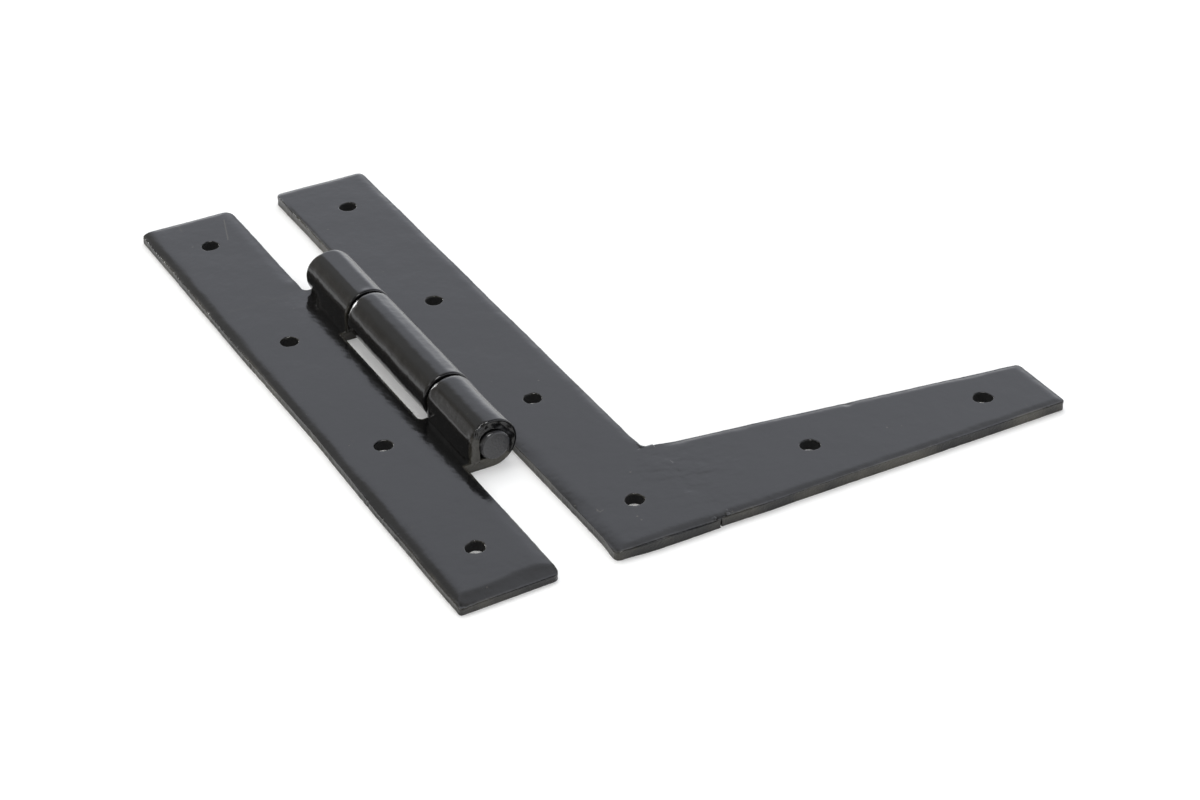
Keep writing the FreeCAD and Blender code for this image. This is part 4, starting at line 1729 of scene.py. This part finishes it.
@dataclass
class Studio:
    """The white sweep that the hinge lies on, its soft light, and the camera.

    aim holds the camera's distances right, up and back from the pin's middle, in its own axes,
    and clip the nearest and furthest that it sees, in metres. A tone is an elevation in
    degrees, a strength and a tint. A ramp of the room is the low and high end of how far a
    direction points right, ahead or up, and maybe the light at each.
    """

    azimuth: float = -29.47
    elevation: float = 33.56
    image_width: float = 1200.0
    focal_pixels: float = 2791.9
    sensor_width: float = 36.0
    aim: Triple = (45.70, -6.02, 662.02)
    clip: Place = (0.01, 20.0)
    floor_half: float = 3.0
    floor_drop: float = 0.00002
    floor_white: Four = (0.87, 0.87, 0.857, 1.0)
    floor_glow: float = 0.15
    bright_from: float = 3.0
    bright_side: Place = (-0.11, 0.1)
    far_right: Four = (0.25, 0.56, 1.0, 1.09)
    ahead: Place = (-0.3, 0.25)
    behind: Four = (0.42, 0.6, 0.9, 0.12)
    left_tones: tuple = (
        (0.0, 0.82, (1.0, 0.99, 0.98)),
        (5.0, 0.66, (1.02, 0.99, 0.96)),
        (12.0, 0.41, (1.06, 1.0, 0.90)),
        (24.0, 0.42, (1.04, 1.0, 0.92)),
        (34.0, 0.63, (1.0, 1.0, 0.99)),
        (90.0, 0.66, (1.0, 1.0, 0.99)),
    )
    right_tones: tuple = (
        (0.0, 1.75, (0.99, 1.0, 1.02)),
        (10.0, 1.65, (0.98, 1.0, 1.04)),
        (22.0, 1.13, (0.96, 0.99, 1.09)),
        (30.0, 1.14, (0.96, 0.99, 1.08)),
        (38.0, 1.34, (0.96, 0.99, 1.08)),
        (56.0, 1.08, (0.97, 0.99, 1.06)),
        (90.0, 0.8, (1.0, 1.0, 1.0)),
    )
    lamps: tuple[Lamp, ...] = (
        Lamp("left_softbox", -78.0, 38.0, 1.4, 0.3, 2.0),
        Lamp("camera_side_window", -157.0, 57.0, 1.5, 0.5, 11.5, "visible_diffuse"),
        Lamp("back_spot", -15.0, 7.0, 1.3, 0.34, 5.0, "visible_diffuse"),
        Lamp("overhead_diffuser", 15.0, 62.0, 2.0, 1.6, 16.0, "visible_glossy"),
        Lamp("front_diffuser", -160.0, 34.0, 2.0, 1.6, 20.0, "visible_glossy"),
    )

    def add_camera(self, pin_x: float) -> None:
        """Place the camera by its angles, and its distances from the pin's middle."""
        turn, rise = math.radians(self.azimuth), math.radians(self.elevation)
        right = Vector((math.cos(turn), math.sin(turn), 0.0))
        up = Vector((-math.sin(turn) * math.sin(rise), math.cos(turn) * math.sin(rise), math.cos(rise)))
        axes = (right, up, right.cross(up))
        place = Vector((pin_x, 0.0, 0.0))
        for axis, distance in zip(axes, self.aim):
            place += axis * distance
        data = bpy.data.cameras.new("photo_camera")
        data.sensor_width = self.sensor_width
        data.lens = self.focal_pixels / self.image_width * self.sensor_width
        data.clip_start, data.clip_end = self.clip
        camera = show("photo_camera", data)
        camera.matrix_world = Matrix.Translation(place * MM) @ Matrix(axes).transposed().to_4x4()
        bpy.context.scene.camera = camera

    def add_floor(self) -> None:
        """Lay a plain white floor that keeps the hinge's shadow."""
        half = self.floor_half
        mesh = bpy.data.meshes.new("floor")
        corners = [(-half, -half, 0.0), (half, -half, 0.0), (half, half, 0.0), (-half, half, 0.0)]
        mesh.from_pydata(corners, [], [(0, 1, 2, 3)])
        floor = show("floor", mesh)
        floor.location.z = -self.floor_drop
        material = bpy.data.materials.new("white_sweep")
        bench = empty_bench(material)
        path = bench.add("LightPath").outputs
        seen = bench.most(path["Is Camera Ray"], path["Is Glossy Ray"])
        seen = bench.most(seen, path["Is Transmission Ray"])
        matt = bench.add("BsdfDiffuse", {"Color": self.floor_white})
        glow = bench.add("Emission", {
            "Color": (1.0, 1.0, 1.0, 1.0),
            "Strength": bench.times(seen, self.floor_glow),
        })
        both = bench.add("AddShader", {0: matt.outputs[0], 1: glow.outputs[0]})
        bench.add("OutputMaterial", {"Surface": both.outputs[0]})
        mesh.materials.append(material)

    def tones(self, bench: NodeBench, height: NodeSocket, stops: tuple) -> NodeSocket:
        """Colour of the room by height above the horizon.

        Args:
            bench: the tree to build in.
            height: sine of the elevation.
            stops: the tones, rising.

        Returns:
            The colour's socket.
        """
        ramp = bench.add("ValToRGB", {"Fac": height})
        ramp.color_ramp.interpolation = "EASE"
        elements = ramp.color_ramp.elements
        while len(elements) < len(stops):
            elements.new(1.0)
        for element, (elevation, strength, tint) in zip(elements, stops):
            element.position = math.sin(math.radians(elevation))
            element.color = (*(strength * part for part in tint), 1.0)
        return ramp.outputs[0]

    def add_world(self) -> None:
        """Light the room softly: bright behind the hinge on the right, dimmer elsewhere."""
        world = bpy.data.worlds.new("soft_room")
        bpy.context.scene.world = world
        bench = empty_bench(world)
        way = bench.add("TexCoord").outputs["Generated"]
        parts = bench.add("SeparateXYZ", {0: way}).outputs
        turn = math.radians(self.bright_from)
        side = bench.vector("DOT_PRODUCT", "Value", way, (math.cos(turn), -math.sin(turn), 0.0))
        left = self.tones(bench, parts["Z"], self.left_tones)
        right = self.tones(bench, parts["Z"], self.right_tones)
        room = bench.blend(bench.ramp(side, *self.bright_side), left, right)
        behind = bench.ramp(parts["Z"], *self.behind)
        ahead = bench.ramp(parts["Y"], *self.ahead)
        level = bench.plus(ahead, bench.times(behind, bench.math("SUBTRACT", 1.0, ahead)))
        level = bench.times(level, bench.ramp(side, *self.far_right))
        light = bench.add("Background", {"Color": room, "Strength": level})
        bench.add("OutputWorld", {"Surface": light.outputs[0]})

    def build(self, pin_x: float) -> None:
        """Set up the whole studio."""
        self.add_camera(pin_x)
        self.add_floor()
        self.add_world()
        for lamp in self.lamps:
            lamp.hang()
        bpy.context.scene.view_settings.view_transform = "Standard"


def main() -> None:
    """Build the studio and both leaves, and report each piece."""
    logging.basicConfig(level=logging.INFO, format="%(message)s")
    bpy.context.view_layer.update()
    sizes = Measures.read(frame)
    Studio().build(sizes.pin_x)

    film_group = PaintFilm().group()
    paints = {
        Slot.BAR: Paint("bar_paint").material(film_group),
        Slot.WELD: Paint("weld_paint", peel=1.6).material(film_group),
        Slot.PIN: Paint("pin_paint", worn_and_painted_reflection=(0.034, 0.034, 0.036), roughness=0.18).material(film_group),
    }
    FixedLeaf(sizes).dress(paints)
    SwingingLeaf(sizes).dress(paints)


if __name__ == "__main__":
    main()
